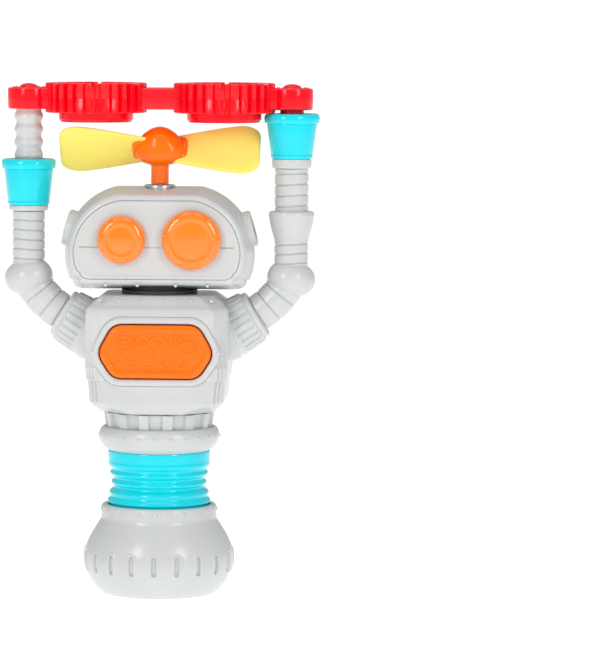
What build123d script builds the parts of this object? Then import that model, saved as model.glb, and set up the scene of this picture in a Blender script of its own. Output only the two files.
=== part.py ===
from build123d import *
import math
import os

# Robot bubble machine, millimetres. Origin: centre of the base's underside.
# +Z up, the face looks along -Y, left and right are as seen from the front.

# walls and fits
wall = 2.0
slip = 0.15              # between fixed pieces that slide together
run = 0.05               # radial, shaft in its bush
air = 0.5                # round a moving piece
skin_gap = 0.05          # between faces that only rest on each other
pole = 0.6               # small flat at the middle of a dome

# base bulb
base_radius = 35.9
base_foot_radius = 27.0
base_neck_radius = 27.5
base_bulge_z = 16.3
base_shoulder_z = 34.8
base_haunch_in = 2.9     # how far the outline has drawn in between belly and foot
base_upper_in = 2.4      # and between belly and shoulder
base_height = 42.5
base_wall = 2.4
base_rim = 2.3
slot_count = 20
slot_width = 2.4
slot_height = 9.5
slot_depth = 1.5

# base plate, clamped by the grip core's posts
plate_thickness = 2.4
plate_radius = 24.4
post_count = 3
post_radius = 2.6
post_circle = 19.8
pilot_radius = 1.3
screw_radius = 1.2
screw_head_radius = 2.5
screw_head_height = 1.4
screw_bite = 8.0

# grip
core_radius = 20.0
core_wall = 2.0
core_flange_thickness = 2.0
grip_height = 25.9
grip_bulge_radius = 24.2
grip_waist_radius = 21.6
grip_waist_rise = 9.6    # height of the narrow waist above the sleeve's foot
grip_top_radius = 24.6

# collar ring and fluted column
collar_height = 11.6
collar_radius = 28.7
column_height = 7.5
column_foot_radius = 25.2
column_top_radius = 26.4
flute_count = 14
flute_width = 6.4
flute_depth = 1.2
spigot_radius = 23.0
spigot_height = 4.0

# torso: half widths and half depths
torso_height = 55.8
torso_half_width = 33.8
torso_half_depth = 28.0
torso_corner = 6.9
torso_rear_corner = 2.0
torso_foot_half_width = 31.6
torso_top_half_width = 27.0
torso_top_half_depth = 21.0
torso_chamfer = 5.5
torso_yoke = 9.6
neck_gap = 1.9
neck_radius = 15.0

# chest button and its bezel
button_rise = 29.0       # button centre above the torso's lower edge
button_half_width = 27.5
button_top_half_width = 20.0
button_top = 13.6
button_bottom = 11.6
button_round = 5.5
button_proud = 2.2
button_travel = 3.0
bezel_border = 3.3
bezel_proud = 1.4
bezel_depth = 6.0
retainer_lip = 1.3
retainer_thickness = 1.4
spring_radius = 3.0
spring_wall = 0.8
spring_spread = 14.0
board_thickness = 1.6
board_half_width = 22.0
board_half_height = 12.0
switch_side = 6.2
switch_height = 3.6
board_gap = 8.0          # from the button's back to the board

# battery tray
cell_radius = 7.1
cell_length = 49.2
cell_nub = 1.3
cell_pitch = 15.0
tray_wall = 1.5
contact_gap = 2.6
door_thickness = 2.4

# arms
shoulder_tilt = 31.0     # degrees above level
shoulder_rise = 39.4
shoulder_out = 1.4
root_tilt = 17.0         # degrees, the boss's face
boss_radius = 15.0
boss_depth = 12.0
socket_radius = 9.0
socket_depth = 3.6
shoulder_length = 10.8
shoulder_root_radius = 13.8
shoulder_end_radius = 13.0
shoulder_rib_count = 22
shoulder_rib_depth = 0.6
flange_radius = 11.85
flange_thickness = 2.6
upper_arm_radius = 8.7
elbow_half_width = 11.5
elbow_half_height = 7.75
elbow_rise = 63.1
left_forearm_radius = 7.55
right_forearm_radius = 7.9
arm_groove = 0.45
cuff_height = 13.5
cuff_top_radius = 10.8
cuff_foot_radius = 8.2
cuff_rise = 18.4
cup_collar_radius = 9.35
left_collar_height = 2.6
right_collar_height = 4.5
left_cup_height = 22.0
left_cup_foot_radius = 9.9
left_cup_mouth_radius = 12.85
right_cup_height = 21.4
right_cup_foot_radius = 9.9
right_cup_mouth_radius = 13.1
cup_rim = 4.8
blade_to_cup = 1.5
head_to_elbow = 1.0

# head
head_height = 49.0
head_half_width = 45.2
head_top_half_width = 20.0
head_foot_half_width = 40.3
head_half_depth = 22.5
head_draft = 9.0         # degrees
head_round = 3.0
jaw_round = 5.0
face_border = 2.6
face_draw = 3.4          # how far the draft draws the head's front in
face_thickness = 1.8
face_sink = 1.0
face_foot = 5.9
eye_spread = 16.5
eye_rise = 24.7
left_eye_radius = 11.45
right_eye_radius = 14.05
eye_height = 5.6
eye_peg_radius = 5.0
ear_radius = 8.7
ear_inner_radius = 6.4
ear_rise = 28.9
ear_tilt = 15.0          # degrees, outwards and up
ear_in = 1.9
ear_depth = 4.0
ear_proud = 1.6
head_hole_radius = 6.5

# motor and fan
motor_radius = 10.0
motor_length = 22.0
motor_cap_height = 2.5
motor_drop = 3.6         # motor's end below the head's top
motor_wall = 1.8
shaft_radius = 1.0
shaft_gap = 1.2
stem_radius = 4.25
stem_height = 8.6
hub_radius = 9.4
hub_height = 18.4
fan_radius = 48.0
blade_thickness = 1.5
blade_root = 7.0
blade_root_chord = 17.0
blade_tip_chord = 30.0
blade_root_pitch = 42.0  # degrees above level
blade_tip_pitch = 50.0

# wand
blade_to_wand = 2.2
wand_overhang = 9.9      # of the bar beyond each arm's axis
bar_half_depth = 8.4
bar_height = 10.2
tip_radius = 10.2
gear_spacing = 30.5
gear_radius = 24.1
tooth_count = 28
tooth_depth = 2.6
gear_height = 14.1
gear_bore_radius = 16.0
skirt_radius = 17.6
skirt_height = 4.4
notch_width = 1.8
notch_depth = 2.9
cap_radius = 4.3
cap_height = 2.0
grip_crest_radius = 6.85
grip_valley_radius = 5.95
grip_pitch = 6.2
grip_seat = 16.0         # how far the wand's grip reaches into the left cup
peg_radius = 5.6
peg_seat = 8.0
cup_clearance = 0.4

# levels, each from the one below it
grip_z = base_height
collar_z = grip_z + grip_height
column_z = collar_z + collar_height
torso_z = column_z + column_height
torso_top_z = torso_z + torso_height
head_z = torso_top_z + neck_gap
head_top_z = head_z + head_height
ledge_z = base_height - 3.5
hub_z = head_top_z + shaft_gap + stem_height
hub_top_z = hub_z + hub_height
skirt_z = hub_top_z + blade_to_wand
gear_z = skirt_z + skirt_height
gear_top_z = gear_z + gear_height
bar_z = gear_z + 1.6
blade_z = hub_z + 0.5 * hub_height - 1.6

# arms stand clear of the blades, and of a wide head
arm_reach = max(fan_radius + blade_to_cup + right_cup_mouth_radius,
                head_half_width + head_to_elbow + elbow_half_width)
wand_half_length = arm_reach + wand_overhang
elbow_z = torso_z + elbow_rise
right_cup_top_z = bar_z - 1.7
right_cup_z = right_cup_top_z - right_cup_height
right_collar_z = right_cup_z - right_collar_height
left_cup_z = right_cup_z - 22.6
left_cup_top_z = left_cup_z + left_cup_height
left_collar_z = left_cup_z - left_collar_height
forearm_z = elbow_z + 6.2

button_z = torso_z + button_rise
chest_y = -torso_half_depth
bezel_y = chest_y - bezel_proud
button_y = chest_y - button_proud
retainer_y = bezel_y + bezel_depth + skin_gap + retainer_thickness
board_y = retainer_y + board_gap
back_y = torso_half_depth
tray_half_height = cell_pitch / 2 + cell_radius + tray_wall + 0.4
tray_half_width = cell_length / 2 + cell_nub + contact_gap + tray_wall
tray_back_y = back_y - wall
tray_depth = 2 * cell_radius + tray_wall + 1.6
tray_y = tray_back_y - tray_depth
cell_y = tray_y + tray_wall + 0.5 + cell_radius
eye_z = head_z + eye_rise
ear_z = head_z + ear_rise
face_y = -head_half_depth
motor_top_z = head_top_z - motor_drop
motor_z = motor_top_z - motor_length


def save(name, shape):
    export_step(shape, f"parts/{name}.step")


def rod(radius, low, high, x=0.0, y=0.0):
    return Pos(x, y, (low + high) / 2) * Cylinder(radius, high - low)


def tube(outer, inner, low, high, x=0.0, y=0.0):
    return rod(outer, low, high, x, y) - rod(inner, low - 1, high + 1, x, y)


def block(x0, x1, y0, y1, z0, z1):
    centre = Pos((x0 + x1) / 2, (y0 + y1) / 2, (z0 + z1) / 2)
    return centre * Box(x1 - x0, y1 - y0, z1 - z0)


def rod_y(radius, front, back, x, z):
    return Pos(x, (front + back) / 2, z) * Rot(X=90) * Cylinder(radius, back - front)


def rod_x(radius, x0, x1, y, z):
    return Pos((x0 + x1) / 2, y, z) * Rot(Y=90) * Cylinder(radius, x1 - x0)


def lathe(*edges):
    """Solid turned about Z from a closed outline given as (radius, height) edges."""
    return revolve(Plane.XZ * make_face(Curve() + list(edges)), Axis.Z, 360)


def around(count, shape, turn=0.0):
    """Copies of a shape spaced evenly about Z, the first facing the front."""
    return [Rot(Z=turn + i * 360 / count) * shape for i in range(count)]


def pair(shape):
    return [shape, mirror(shape, Plane.YZ)]


def front_screw(x, z, head_y, tip_y):
    """Screw driven from the rear along Y; head_y is the head's rear face."""
    seat_y = head_y - screw_head_height
    return rod_y(screw_head_radius, seat_y, head_y, x, z) + rod_y(screw_radius, tip_y, seat_y, x, z)


# ---------------------------------------------------------------- base
def base_outline(inset, low, high):
    """Outline of the bulb, moved inwards by inset and cut off level at low and high."""
    foot = (base_foot_radius - inset, 0)
    haunch = (base_radius - base_haunch_in - inset, base_bulge_z * 0.38)
    belly = (base_radius - inset, base_bulge_z)
    upper = (base_radius - base_upper_in - inset, (base_bulge_z + base_shoulder_z) / 2)
    shoulder = (base_neck_radius - inset, base_shoulder_z)
    neck = (base_neck_radius - inset, max(high, base_shoulder_z + 1))
    body = lathe(ThreePointArc(foot, haunch, belly), ThreePointArc(belly, upper, shoulder),
                 Line(shoulder, neck), Line(neck, (0, neck[1])), Line((0, neck[1]), (0, 0)),
                 Line((0, 0), foot))
    return body & rod(base_radius * 2, low, high)


def make_base_shell():
    body = base_outline(0, 0, base_height)
    body = fillet(body.edges().group_by(Axis.Z)[-1], 0.9)
    seat_top = plate_thickness + 1.6
    hollow = base_outline(base_wall, seat_top, ledge_z - 2.5)
    body = body - hollow
    body = body - rod(base_neck_radius - base_rim, ledge_z, base_height + 1)
    body = body - rod(core_radius - core_wall - 1.5, ledge_z - 4, ledge_z + 1)
    body = body - rod(plate_radius + slip, -1, plate_thickness)
    body = body - rod(plate_radius - 1.5, 0, seat_top + 1)
    body = body - around(post_count, rod(post_radius + slip, ledge_z - 4, ledge_z + 1, 0, -post_circle))
    slot_face = SlotOverall(slot_height, slot_width, rotation=90)
    slot = extrude(Plane.XZ.offset(base_radius - slot_depth) * Pos(0, base_bulge_z) * slot_face, 6)
    return body - around(slot_count, slot)


def make_base_plate():
    body = rod(plate_radius, 0, plate_thickness)
    body = body - around(post_count, rod(screw_radius + slip, -1, 9, 0, -post_circle))
    head = rod(screw_head_radius + slip, -1, screw_head_height + 0.1, 0, -post_circle)
    return body - around(post_count, head)


def make_base_screws():
    head = rod(screw_head_radius, 0.1, screw_head_height + 0.1, 0, -post_circle)
    shank = rod(screw_radius, screw_head_height, screw_head_height + screw_bite, 0, -post_circle)
    return Compound(around(post_count, head + shank))


def make_grip_core():
    top = torso_z - 0.5
    body = tube(core_radius, core_radius - core_wall, ledge_z, top)
    flange = tube(base_neck_radius - base_rim - slip, core_radius - core_wall, ledge_z,
                  ledge_z + core_flange_thickness)
    body = body + flange
    post = rod(post_radius, plate_thickness + skin_gap, ledge_z + 1, 0, -post_circle)
    body = body + around(post_count, post)
    pilot = rod(pilot_radius, 0, plate_thickness + screw_bite + 1, 0, -post_circle)
    return body - around(post_count, pilot)


def make_grip_sleeve():
    low = ledge_z + core_flange_thickness + skin_gap
    high = collar_z - skin_gap
    inner = core_radius + slip
    foot = (grip_bulge_radius - 0.9, low)
    tuck = (grip_bulge_radius - 1.3, low + grip_waist_rise - 2.6)
    flare = (grip_waist_radius + 1.1, low + grip_waist_rise + 4.4)
    head = (grip_top_radius, high)
    return lathe(ThreePointArc(foot, (grip_bulge_radius, (foot[1] + tuck[1]) / 2), tuck),
                 ThreePointArc(tuck, (grip_waist_radius, low + grip_waist_rise + 0.5), flare),
                 ThreePointArc(flare, (grip_top_radius - 0.6, (flare[1] + high) / 2), head),
                 Line(head, (inner, high)), Line((inner, high), (inner, low)), Line((inner, low), foot))


def make_collar_ring():
    low = collar_z
    high = column_z - skin_gap
    inner = core_radius + slip
    foot = (collar_radius - 2.6, low)
    head = (collar_radius - 3.2, high)
    belly = ThreePointArc(foot, (collar_radius, low + collar_height * 0.55), head)
    body = lathe(belly, Line(head, (inner, high)), Line((inner, high), (inner, low)),
                 Line((inner, low), foot))
    return body


def make_waist_column():
    high = torso_z - skin_gap
    inner = core_radius + slip
    body = lathe(Line((column_foot_radius, column_z), (column_top_radius, high)),
                 Line((column_top_radius, high), (inner, high)), Line((inner, high), (inner, column_z)),
                 Line((inner, column_z), (column_foot_radius, column_z)))
    spigot_inner = core_radius + slip
    body = body + tube(spigot_radius, spigot_inner, high - 1, torso_z + spigot_height)
    middle_radius = (column_foot_radius + column_top_radius) / 2
    flute = block(-flute_width / 2, flute_width / 2, -middle_radius - 4, flute_depth - middle_radius,
                  column_z + 0.8, torso_z - 0.6)
    return body - around(flute_count, flute)


# ---------------------------------------------------------------- torso
def octagon(half_width, half_depth, corner, rear, z):
    """Rectangle in plan with its corners cut off, more at the front than at the rear."""
    w = half_width
    d = half_depth
    c = corner
    points = [(-w, c - d), (c - w, -d), (w - c, -d), (w, c - d),
              (w, d - rear), (w - rear, d), (rear - w, d), (-w, d - rear)]
    return Pos(0, 0, z) * make_face(Polyline(*points, close=True))


def torso_form(inset):
    """The torso's outer form, or its hollow when inset is the wall."""
    w = torso_half_width - inset
    d = torso_half_depth - inset
    c = torso_corner - inset * 0.6
    r = torso_rear_corner - inset * 0.6
    foot_corner = column_top_radius * 0.55 - inset * 0.6
    foot = octagon(column_top_radius + 0.6 - inset, column_top_radius + 0.6 - inset,
                   foot_corner, foot_corner, torso_z + inset)
    hip = octagon(torso_foot_half_width - inset, d, c, r, torso_z + torso_chamfer)
    ribs = octagon(w, d, c, r, torso_z + torso_height * 0.35)
    yoke = octagon(w, d, c, r, torso_top_z - torso_yoke)
    brow = octagon(w - 2.4, d - 2.6, c, r, torso_top_z - torso_yoke * 0.4)
    crown = octagon(torso_top_half_width - inset, torso_top_half_depth - inset, c, r,
                    torso_top_z - inset)
    return loft([foot, hip, ribs, yoke, brow, crown], ruled=True)


def shoulder_plane():
    """Right shoulder: Z runs out along the arm's first stretch, Y is the machine's Y."""
    tilt = math.radians(shoulder_tilt)
    origin = (torso_half_width + shoulder_out, 0, torso_z + shoulder_rise)
    return Plane(origin=origin, x_dir=(math.sin(tilt), 0, -math.cos(tilt)),
                 z_dir=(math.cos(tilt), 0, math.sin(tilt)))


def root_plane():
    """Where the right shoulder meets its boss, steeper than the arm it carries."""
    tilt = math.radians(root_tilt)
    return Plane(origin=shoulder_plane().origin, x_dir=(math.sin(tilt), 0, -math.cos(tilt)),
                 z_dir=(math.cos(tilt), 0, math.sin(tilt)))


def torso_blank():
    body = torso_form(0)
    body = body + pair(root_plane() * rod(boss_radius, -boss_depth, 0))
    body = body - torso_form(wall)
    body = body - pair(root_plane() * rod(boss_radius + 3, 0, 30))
    body = body - pair(root_plane() * rod(socket_radius + slip, -socket_depth - slip, 1))
    body = body - rod(spigot_radius + slip, torso_z - 1, torso_z + wall + 1)
    body = body - rod(neck_radius + slip, torso_top_z - wall - 1, torso_top_z + 1)
    return body


def torso_post_places():
    """Screw places on the seam between the torso's shells, as (x, z)."""
    low = torso_z + 7.4
    high = torso_top_z - 6.8
    return [(-24.5, low), (24.5, low), (-21, high), (21, high)]


def button_outline(grow):
    """Six-sided button outline with rounded corners, grown evenly by grow."""
    points = [(-button_top_half_width, -button_bottom), (button_top_half_width, -button_bottom),
              (button_half_width, 0), (button_top_half_width, button_top),
              (-button_top_half_width, button_top), (-button_half_width, 0)]
    face = make_face(Polyline(*points, close=True))
    face = fillet(face.vertices(), button_round)
    if grow:
        face = offset(face, grow)
    return face


def button_prism(grow, front, back):
    place = Plane(origin=(0, back, button_z), x_dir=(1, 0, 0), z_dir=(0, -1, 0))
    return extrude(place * button_outline(grow), back - front)


def make_torso_front():
    front_half = block(-90, 90, -60, 0, torso_z - 5, torso_top_z + 5)
    body = torso_blank() & front_half
    form = torso_form(0)
    for x, z in torso_post_places():
        body = body + (rod_y(3.2, -60, 0, x, z) & form & front_half)
        body = body - rod_y(pilot_radius, -14, 1, x, z)
    body = body - button_prism(bezel_border + slip, chest_y - 5, bezel_y + bezel_depth + 20)
    return body


def tray_window(grow, front, back):
    w = tray_half_width + grow
    h = tray_half_height + grow
    return block(-w, w, front, back, button_z - h, button_z + h)


def make_torso_rear():
    rear_half = block(-90, 90, 0, 60, torso_z - 5, torso_top_z + 5)
    body = torso_blank() & rear_half
    form = torso_form(0)
    for x, z in torso_post_places():
        body = body + (rod_y(3.2, 0, 60, x, z) & form & rear_half)
        body = body - rod_y(screw_radius + slip, -1, 60, x, z)
        body = body - rod_y(screw_head_radius + slip, torso_half_depth - 9, 60, x, z)
    body = body - tray_window(-tray_wall, back_y - wall - 1, back_y + 5)
    body = body - door_form(0.25, back_y - 1.2, back_y + 5)
    nut = rod_y(2.6, back_y - 7, back_y - 1.2, 0, door_screw_z())
    body = body + nut - rod_y(pilot_radius, 0, 60, 0, door_screw_z())
    return body


def make_torso_screws():
    seat = torso_half_depth - 9
    screws = [front_screw(x, z, seat + screw_head_height, -12) for x, z in torso_post_places()]
    return Compound(screws)


def make_bezel():
    body = button_prism(bezel_border, bezel_y, bezel_y + bezel_depth)
    front = body.faces().sort_by(Axis.Y)[0]
    body = fillet(front.edges(), 1.1)
    return body - button_prism(air, bezel_y - 2, bezel_y + bezel_depth + 2)


def make_chest_button():
    body = button_prism(0, button_y, retainer_y)
    front = body.faces().sort_by(Axis.Y)[0]
    body = fillet(front.edges(), 1.6)
    body = body + button_prism(retainer_lip, retainer_y - retainer_thickness, retainer_y)
    body = body - button_prism(-1.8, button_y + 2.2, retainer_y + 1)
    boss_end = board_y - switch_height - button_travel - 0.2
    body = body + rod_y(2.4, button_y + 2, boss_end, 0, button_z)
    for side in (-1, 1):
        pad = rod_y(spring_radius + 0.6, button_y + 2, retainer_y - 0.6, side * spring_spread, button_z)
        body = body + pad
    return body


def make_button_springs():
    coils = []
    for side in (-1, 1):
        x = side * spring_spread
        coil = rod_y(spring_radius, retainer_y - 0.5, board_y - 0.05, x, button_z)
        coils.append(coil - rod_y(spring_radius - spring_wall, retainer_y - 2, board_y + 1, x, button_z))
    return Compound(coils)


def make_circuit_board():
    return block(-board_half_width, board_half_width, board_y, board_y + board_thickness,
                 button_z - board_half_height, button_z + board_half_height)


def make_push_switch():
    s = switch_side / 2
    body = block(-s, s, board_y - switch_height + 1.2, board_y - skin_gap, button_z - s, button_z + s)
    return body + rod_y(1.7, board_y - switch_height, board_y - 1, 0, button_z)


# ---------------------------------------------------------------- battery
def door_screw_z():
    return button_z + tray_half_height + 4.4


def door_form(grow, front, back):
    w = tray_half_width - 1.0 + grow
    low = button_z - tray_half_height - 1.2 - grow
    high = door_screw_z() + 3.4 + grow
    plate = block(-w, w, front, back, low, button_z + tray_half_height + 1.2 + grow)
    tab = block(-6 - grow, 6 + grow, front, back, button_z, high)
    return plate + tab


def make_battery_tray():
    body = tray_window(0, tray_y, tray_back_y - skin_gap)
    body = body - tray_window(-tray_wall, tray_y + tray_wall, tray_back_y + 1)
    for x in (-board_half_width + 3, board_half_width - 3):
        for z in (button_z - board_half_height + 3, button_z + board_half_height - 3):
            body = body + rod_y(2.0, board_y + board_thickness + skin_gap, tray_y + 0.5, x, z)
    return body


def cell_places():
    return [(1, button_z - cell_pitch / 2), (-1, button_z + cell_pitch / 2)]


def make_battery_cells():
    cells = []
    for way, z in cell_places():
        can = rod_x(cell_radius, -cell_length / 2, cell_length / 2, cell_y, z)
        tip = cell_length / 2 + cell_nub
        nub = rod_x(2.7, min(0, way * tip), max(0, way * tip), cell_y, z)
        cells.append(can + nub)
    return Compound(cells)


def make_contacts(springs):
    """The coil springs at the cells' flat ends, or the plates at their nubs."""
    pieces = []
    end = tray_half_width - tray_wall - skin_gap
    for way, z in cell_places():
        if springs:
            a = -way * (cell_length / 2 + skin_gap)
            b = -way * end
            coil = rod_x(4.2, min(a, b), max(a, b), cell_y, z) - rod_x(3.4, -60, 60, cell_y, z)
            pieces.append(coil)
        else:
            a = way * (cell_length / 2 + cell_nub + skin_gap)
            b = way * end
            plate = block(min(a, b), max(a, b), cell_y - 4.5, cell_y + 4.5, z - 5.0, z + 5.0)
            pieces.append(plate)
    return Compound(pieces)


def make_battery_door():
    body = door_form(0, back_y - 1.2 + skin_gap, back_y + door_thickness - 1.2)
    rear = body.faces().sort_by(Axis.Y)[-1]
    body = fillet(rear.edges(), 0.5)
    body = body - rod_y(screw_radius + slip, 0, 60, 0, door_screw_z())
    sink_y = back_y + door_thickness - 1.2 - 1.2
    body = body - rod_y(screw_head_radius + slip, sink_y, 60, 0, door_screw_z())
    return body


def make_door_screw():
    sink_y = back_y + door_thickness - 1.2 - 1.2
    return front_screw(0, door_screw_z(), sink_y + screw_head_height, sink_y - 6)


def make_wire_leads():
    """Two leads from the board up through the neck to the motor's terminals."""
    leads = []
    start_z = button_z + board_half_height - 2
    y = board_y + board_thickness + 0.7
    bend_z = start_z + 10
    for x in (-3.2, 3.2):
        low = Vector(x, y, start_z)
        bend = Vector(x, y, bend_z)
        rise = Vector(x, 0, motor_z - 9)
        top = Vector(x, 0, motor_z - motor_cap_height - 0.2)
        path = FilletPolyline(low, bend, rise, top, radius=6)
        section = Plane(origin=path @ 0, z_dir=path % 0) * Circle(0.6)
        leads.append(sweep(section, path=path))
    return Compound([lead.solid() for lead in leads])


# ---------------------------------------------------------------- head
def head_outline():
    """Front view of the head: flat crown, big round shoulders, cheeks drawn in at the jaw."""
    crown = (head_top_half_width, head_height)
    temple = (head_half_width - 1.2, head_height * 0.51)
    bend = (head_half_width * 0.8, head_height * 0.815)
    cheek = (head_half_width, head_height * 0.3)
    jaw = (head_foot_half_width, 0)
    right = [ThreePointArc(crown, bend, temple), ThreePointArc(temple, cheek, jaw)]
    left = [mirror(edge, Plane.YZ) for edge in right]
    edges = right + left + [Line((-crown[0], crown[1]), crown), Line((-jaw[0], 0), jaw)]
    face = make_face(Curve() + edges)
    corners = face.vertices().group_by(Axis.Y)[0]
    return fillet(corners, jaw_round)


def head_half(inset, side):
    """Half of the head's form, from the seam at Y = 0 towards the front (-1) or rear (1)."""
    plane = Plane(origin=(0, 0, head_z), x_dir=(1, 0, 0), z_dir=(0, -1, 0))
    outline = head_outline()
    if inset:
        outline = offset(outline, -inset)
    body = extrude(plane * outline, head_half_depth - inset, taper=head_draft)
    if inset == 0:
        front = body.faces().sort_by(Axis.Y)[0]
        body = fillet(front.edges(), head_round)
    if side > 0:
        body = mirror(body, Plane.XZ)
    return body


def head_post_places():
    return [(-33, head_z + 13), (33, head_z + 13), (-29, head_z + 37), (29, head_z + 37)]


def face_outline(grow):
    """The face plate's outline, drawn in the head's front view."""
    face = offset(head_outline(), grow - face_border - face_draw)
    low = block(-90, 90, -5, face_foot - grow, -1, 1)
    return face - low.faces().sort_by(Axis.Z)[0].moved(Pos(0, 0, 1))


def face_prism(grow, front, back):
    plane = Plane(origin=(0, back, head_z), x_dir=(1, 0, 0), z_dir=(0, -1, 0))
    return extrude(plane * face_outline(grow), back - front)


def eye_places():
    return [(-eye_spread, left_eye_radius), (eye_spread, right_eye_radius)]


def head_shell(side):
    body = head_half(0, side) - head_half(wall, side)
    body = body - rod(neck_radius + slip, head_z - 1, head_z + wall + 5)
    body = body - rod(head_hole_radius, head_top_z - wall - 1, head_top_z + 1)
    return body - pair(ear_plane() * rod(ear_radius + slip, -ear_depth - slip, 20))


def make_head_front():
    body = head_shell(-1)
    form = head_half(0, -1)
    for x, z in head_post_places():
        body = body + (rod_y(2.8, -60, 0, x, z) & form)
        body = body - rod_y(pilot_radius, -12, 1, x, z)
    body = body - face_prism(slip, face_y - 2, face_y + face_sink)
    for x, radius in eye_places():
        body = body - rod_y(eye_peg_radius + slip, -60, 0, x, eye_z)
    return body


def make_head_rear():
    body = head_shell(1)
    form = head_half(0, 1)
    for x, z in head_post_places():
        body = body + (rod_y(2.8, 0, 60, x, z) & form)
        body = body - rod_y(screw_radius + slip, -1, 60, x, z)
        body = body - rod_y(screw_head_radius + slip, head_half_depth - 9, 60, x, z)
    for x in motor_post_places():
        post = rod(2.6, motor_top_z - 2 + skin_gap, head_top_z - 1, x, 3.2)
        body = body + post - rod(pilot_radius, motor_top_z - 3, head_top_z - wall, x, 3.2)
    return body


def make_head_screws():
    seat = head_half_depth - 9
    screws = [front_screw(x, z, seat + screw_head_height, -10) for x, z in head_post_places()]
    return Compound(screws)


def make_face_plate():
    front = face_y + face_sink - face_thickness
    body = face_prism(0, front, face_y + face_sink - skin_gap)
    body = fillet(body.faces().sort_by(Axis.Y)[0].edges(), 0.5)
    for x, radius in eye_places():
        body = body - rod_y(eye_peg_radius + slip, -60, 0, x, eye_z)
    return body


def make_eye(x, radius):
    front = face_y + face_sink - face_thickness
    body = rod_y(radius, front - eye_height, front - skin_gap, x, eye_z)
    body = fillet(body.faces().sort_by(Axis.Y)[0].edges(), eye_height - 1.2)
    return body + rod_y(eye_peg_radius, front - 1, face_y + wall + 2, x, eye_z)


def ear_plane():
    """Middle of the right ear on the head's side; Z points out and a little up."""
    tilt = math.radians(ear_tilt)
    return Plane(origin=(head_half_width - ear_in, 0, ear_z), x_dir=(0, 1, 0),
                 z_dir=(math.cos(tilt), 0, math.sin(tilt)))


def make_ear_ring():
    outer = rod(ear_radius, -ear_depth, ear_proud)
    outer = fillet(outer.edges().group_by(Axis.Z)[-1], 0.8)
    return ear_plane() * (outer - rod(ear_inner_radius, -20, 20))


def make_ear_cap():
    body = rod(ear_inner_radius - slip, -ear_depth, ear_proud - 0.6)
    slit = block(-0.9, 0.9, -4.4, 4.4, ear_proud - 1.6, 20)
    return ear_plane() * (body - slit)


def make_neck_collar():
    low = torso_top_z - wall - 2
    body = tube(neck_radius, neck_radius - 2.5, low, head_z + wall + 2)
    flange = tube(neck_radius + 3, neck_radius - 2.5, torso_top_z + skin_gap, head_z - skin_gap)
    return body + flange


# ---------------------------------------------------------------- motor and fan
def motor_post_places():
    return [-14.6, 14.6]


def make_motor_can():
    body = rod(motor_radius, motor_z, motor_top_z - 0.6)
    body = body + rod(3.2, motor_top_z - 1, motor_top_z)
    return body - rod(shaft_radius + run, motor_z - 1, motor_top_z + 1)


def make_motor_cap():
    body = rod(motor_radius - 0.4, motor_z - motor_cap_height, motor_z - skin_gap)
    for x in (-3.2, 3.2):
        body = body - rod(0.7, motor_z - motor_cap_height - 1, motor_z - motor_cap_height + 0.8, x, 0)
    return body - rod(shaft_radius + run, motor_z - 9, motor_z + 1)


def make_motor_mount():
    """Flanged cup that hangs the motor from two posts under the head's crown."""
    top = motor_top_z - 2
    body = tube(motor_radius + motor_wall, motor_radius + slip, motor_z + 3, top)
    for x in motor_post_places():
        ear = block(min(0, x) - (3.2 if x < 0 else 0), max(0, x) + (3.2 if x > 0 else 0), 0, 6.4,
                    top - 2, top)
        body = body + ear
    body = body - rod(motor_radius + slip, motor_z, top + 5)
    for x in motor_post_places():
        body = body - rod(screw_radius + slip, top - 5, top + 1, x, 3.2)
    return body


def make_motor_screws():
    top = motor_top_z - 2
    screws = []
    for x in motor_post_places():
        head = rod(screw_head_radius, top - 2 - screw_head_height, top - 2 - skin_gap, x, 3.2)
        shank = rod(screw_radius, top - 2 - 0.2, top + 2.6, x, 3.2)
        screws.append(head + shank)
    return Compound(screws)


def make_shaft_eyelet():
    body = tube(head_hole_radius - slip, 3.4, head_top_z - wall - 0.8, head_top_z - wall + 0.6)
    return body


def make_motor_shaft():
    return rod(shaft_radius, motor_z - motor_cap_height + 0.6, hub_z + 9)


def blade_form(thickness, start, end):
    """Right blade: a thin sheet whose chord widens and steepens from root to tip."""
    sections = []
    for share in (0.0, 0.4, 0.75, 1.0):
        x = start + share * (end - start)
        span = (x - blade_root) / (fan_radius - blade_root)
        chord = blade_root_chord + (blade_tip_chord - blade_root_chord) * math.sin(span * 0.5 * math.pi)
        pitch = blade_root_pitch + (blade_tip_pitch - blade_root_pitch) * span
        place = Plane(origin=(x, 0, blade_z), x_dir=(0, 1, 0), z_dir=(1, 0, 0))
        sections.append(place * Rot(Z=pitch) * Rectangle(chord, thickness))
    return loft(sections)


def right_blade(thickness, start):
    body = blade_form(thickness, start, fan_radius + 2)
    round_tip = rod(fan_radius, blade_z - 40, blade_z + 40)
    return body & round_tip


def make_fan_blade(side):
    body = right_blade(blade_thickness, blade_root)
    return body if side > 0 else Rot(Z=180) * body


def make_fan_hub():
    top = hub_top_z
    stem_low = hub_z - stem_height
    neck = (stem_radius, hub_z)
    flare = (hub_radius, hub_z + 4.4)
    belly = (hub_radius, top - hub_radius)
    body = lathe(Line((0, stem_low), (stem_radius, stem_low)), Line((stem_radius, stem_low), neck),
                 ThreePointArc(neck, (hub_radius - 1.5, hub_z + 1.3), flare), Line(flare, belly),
                 ThreePointArc(belly, (hub_radius * 0.72, top - hub_radius * 0.29), (pole, top)),
                 Line((pole, top), (0, top)), Line((0, top), (0, stem_low)))
    body = body - rod(shaft_radius + 0.02, stem_low - 1, hub_z + 9.2)
    slot = right_blade(blade_thickness + 0.2, blade_root - 0.2)
    return body - slot - Rot(Z=180) * slot


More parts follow.
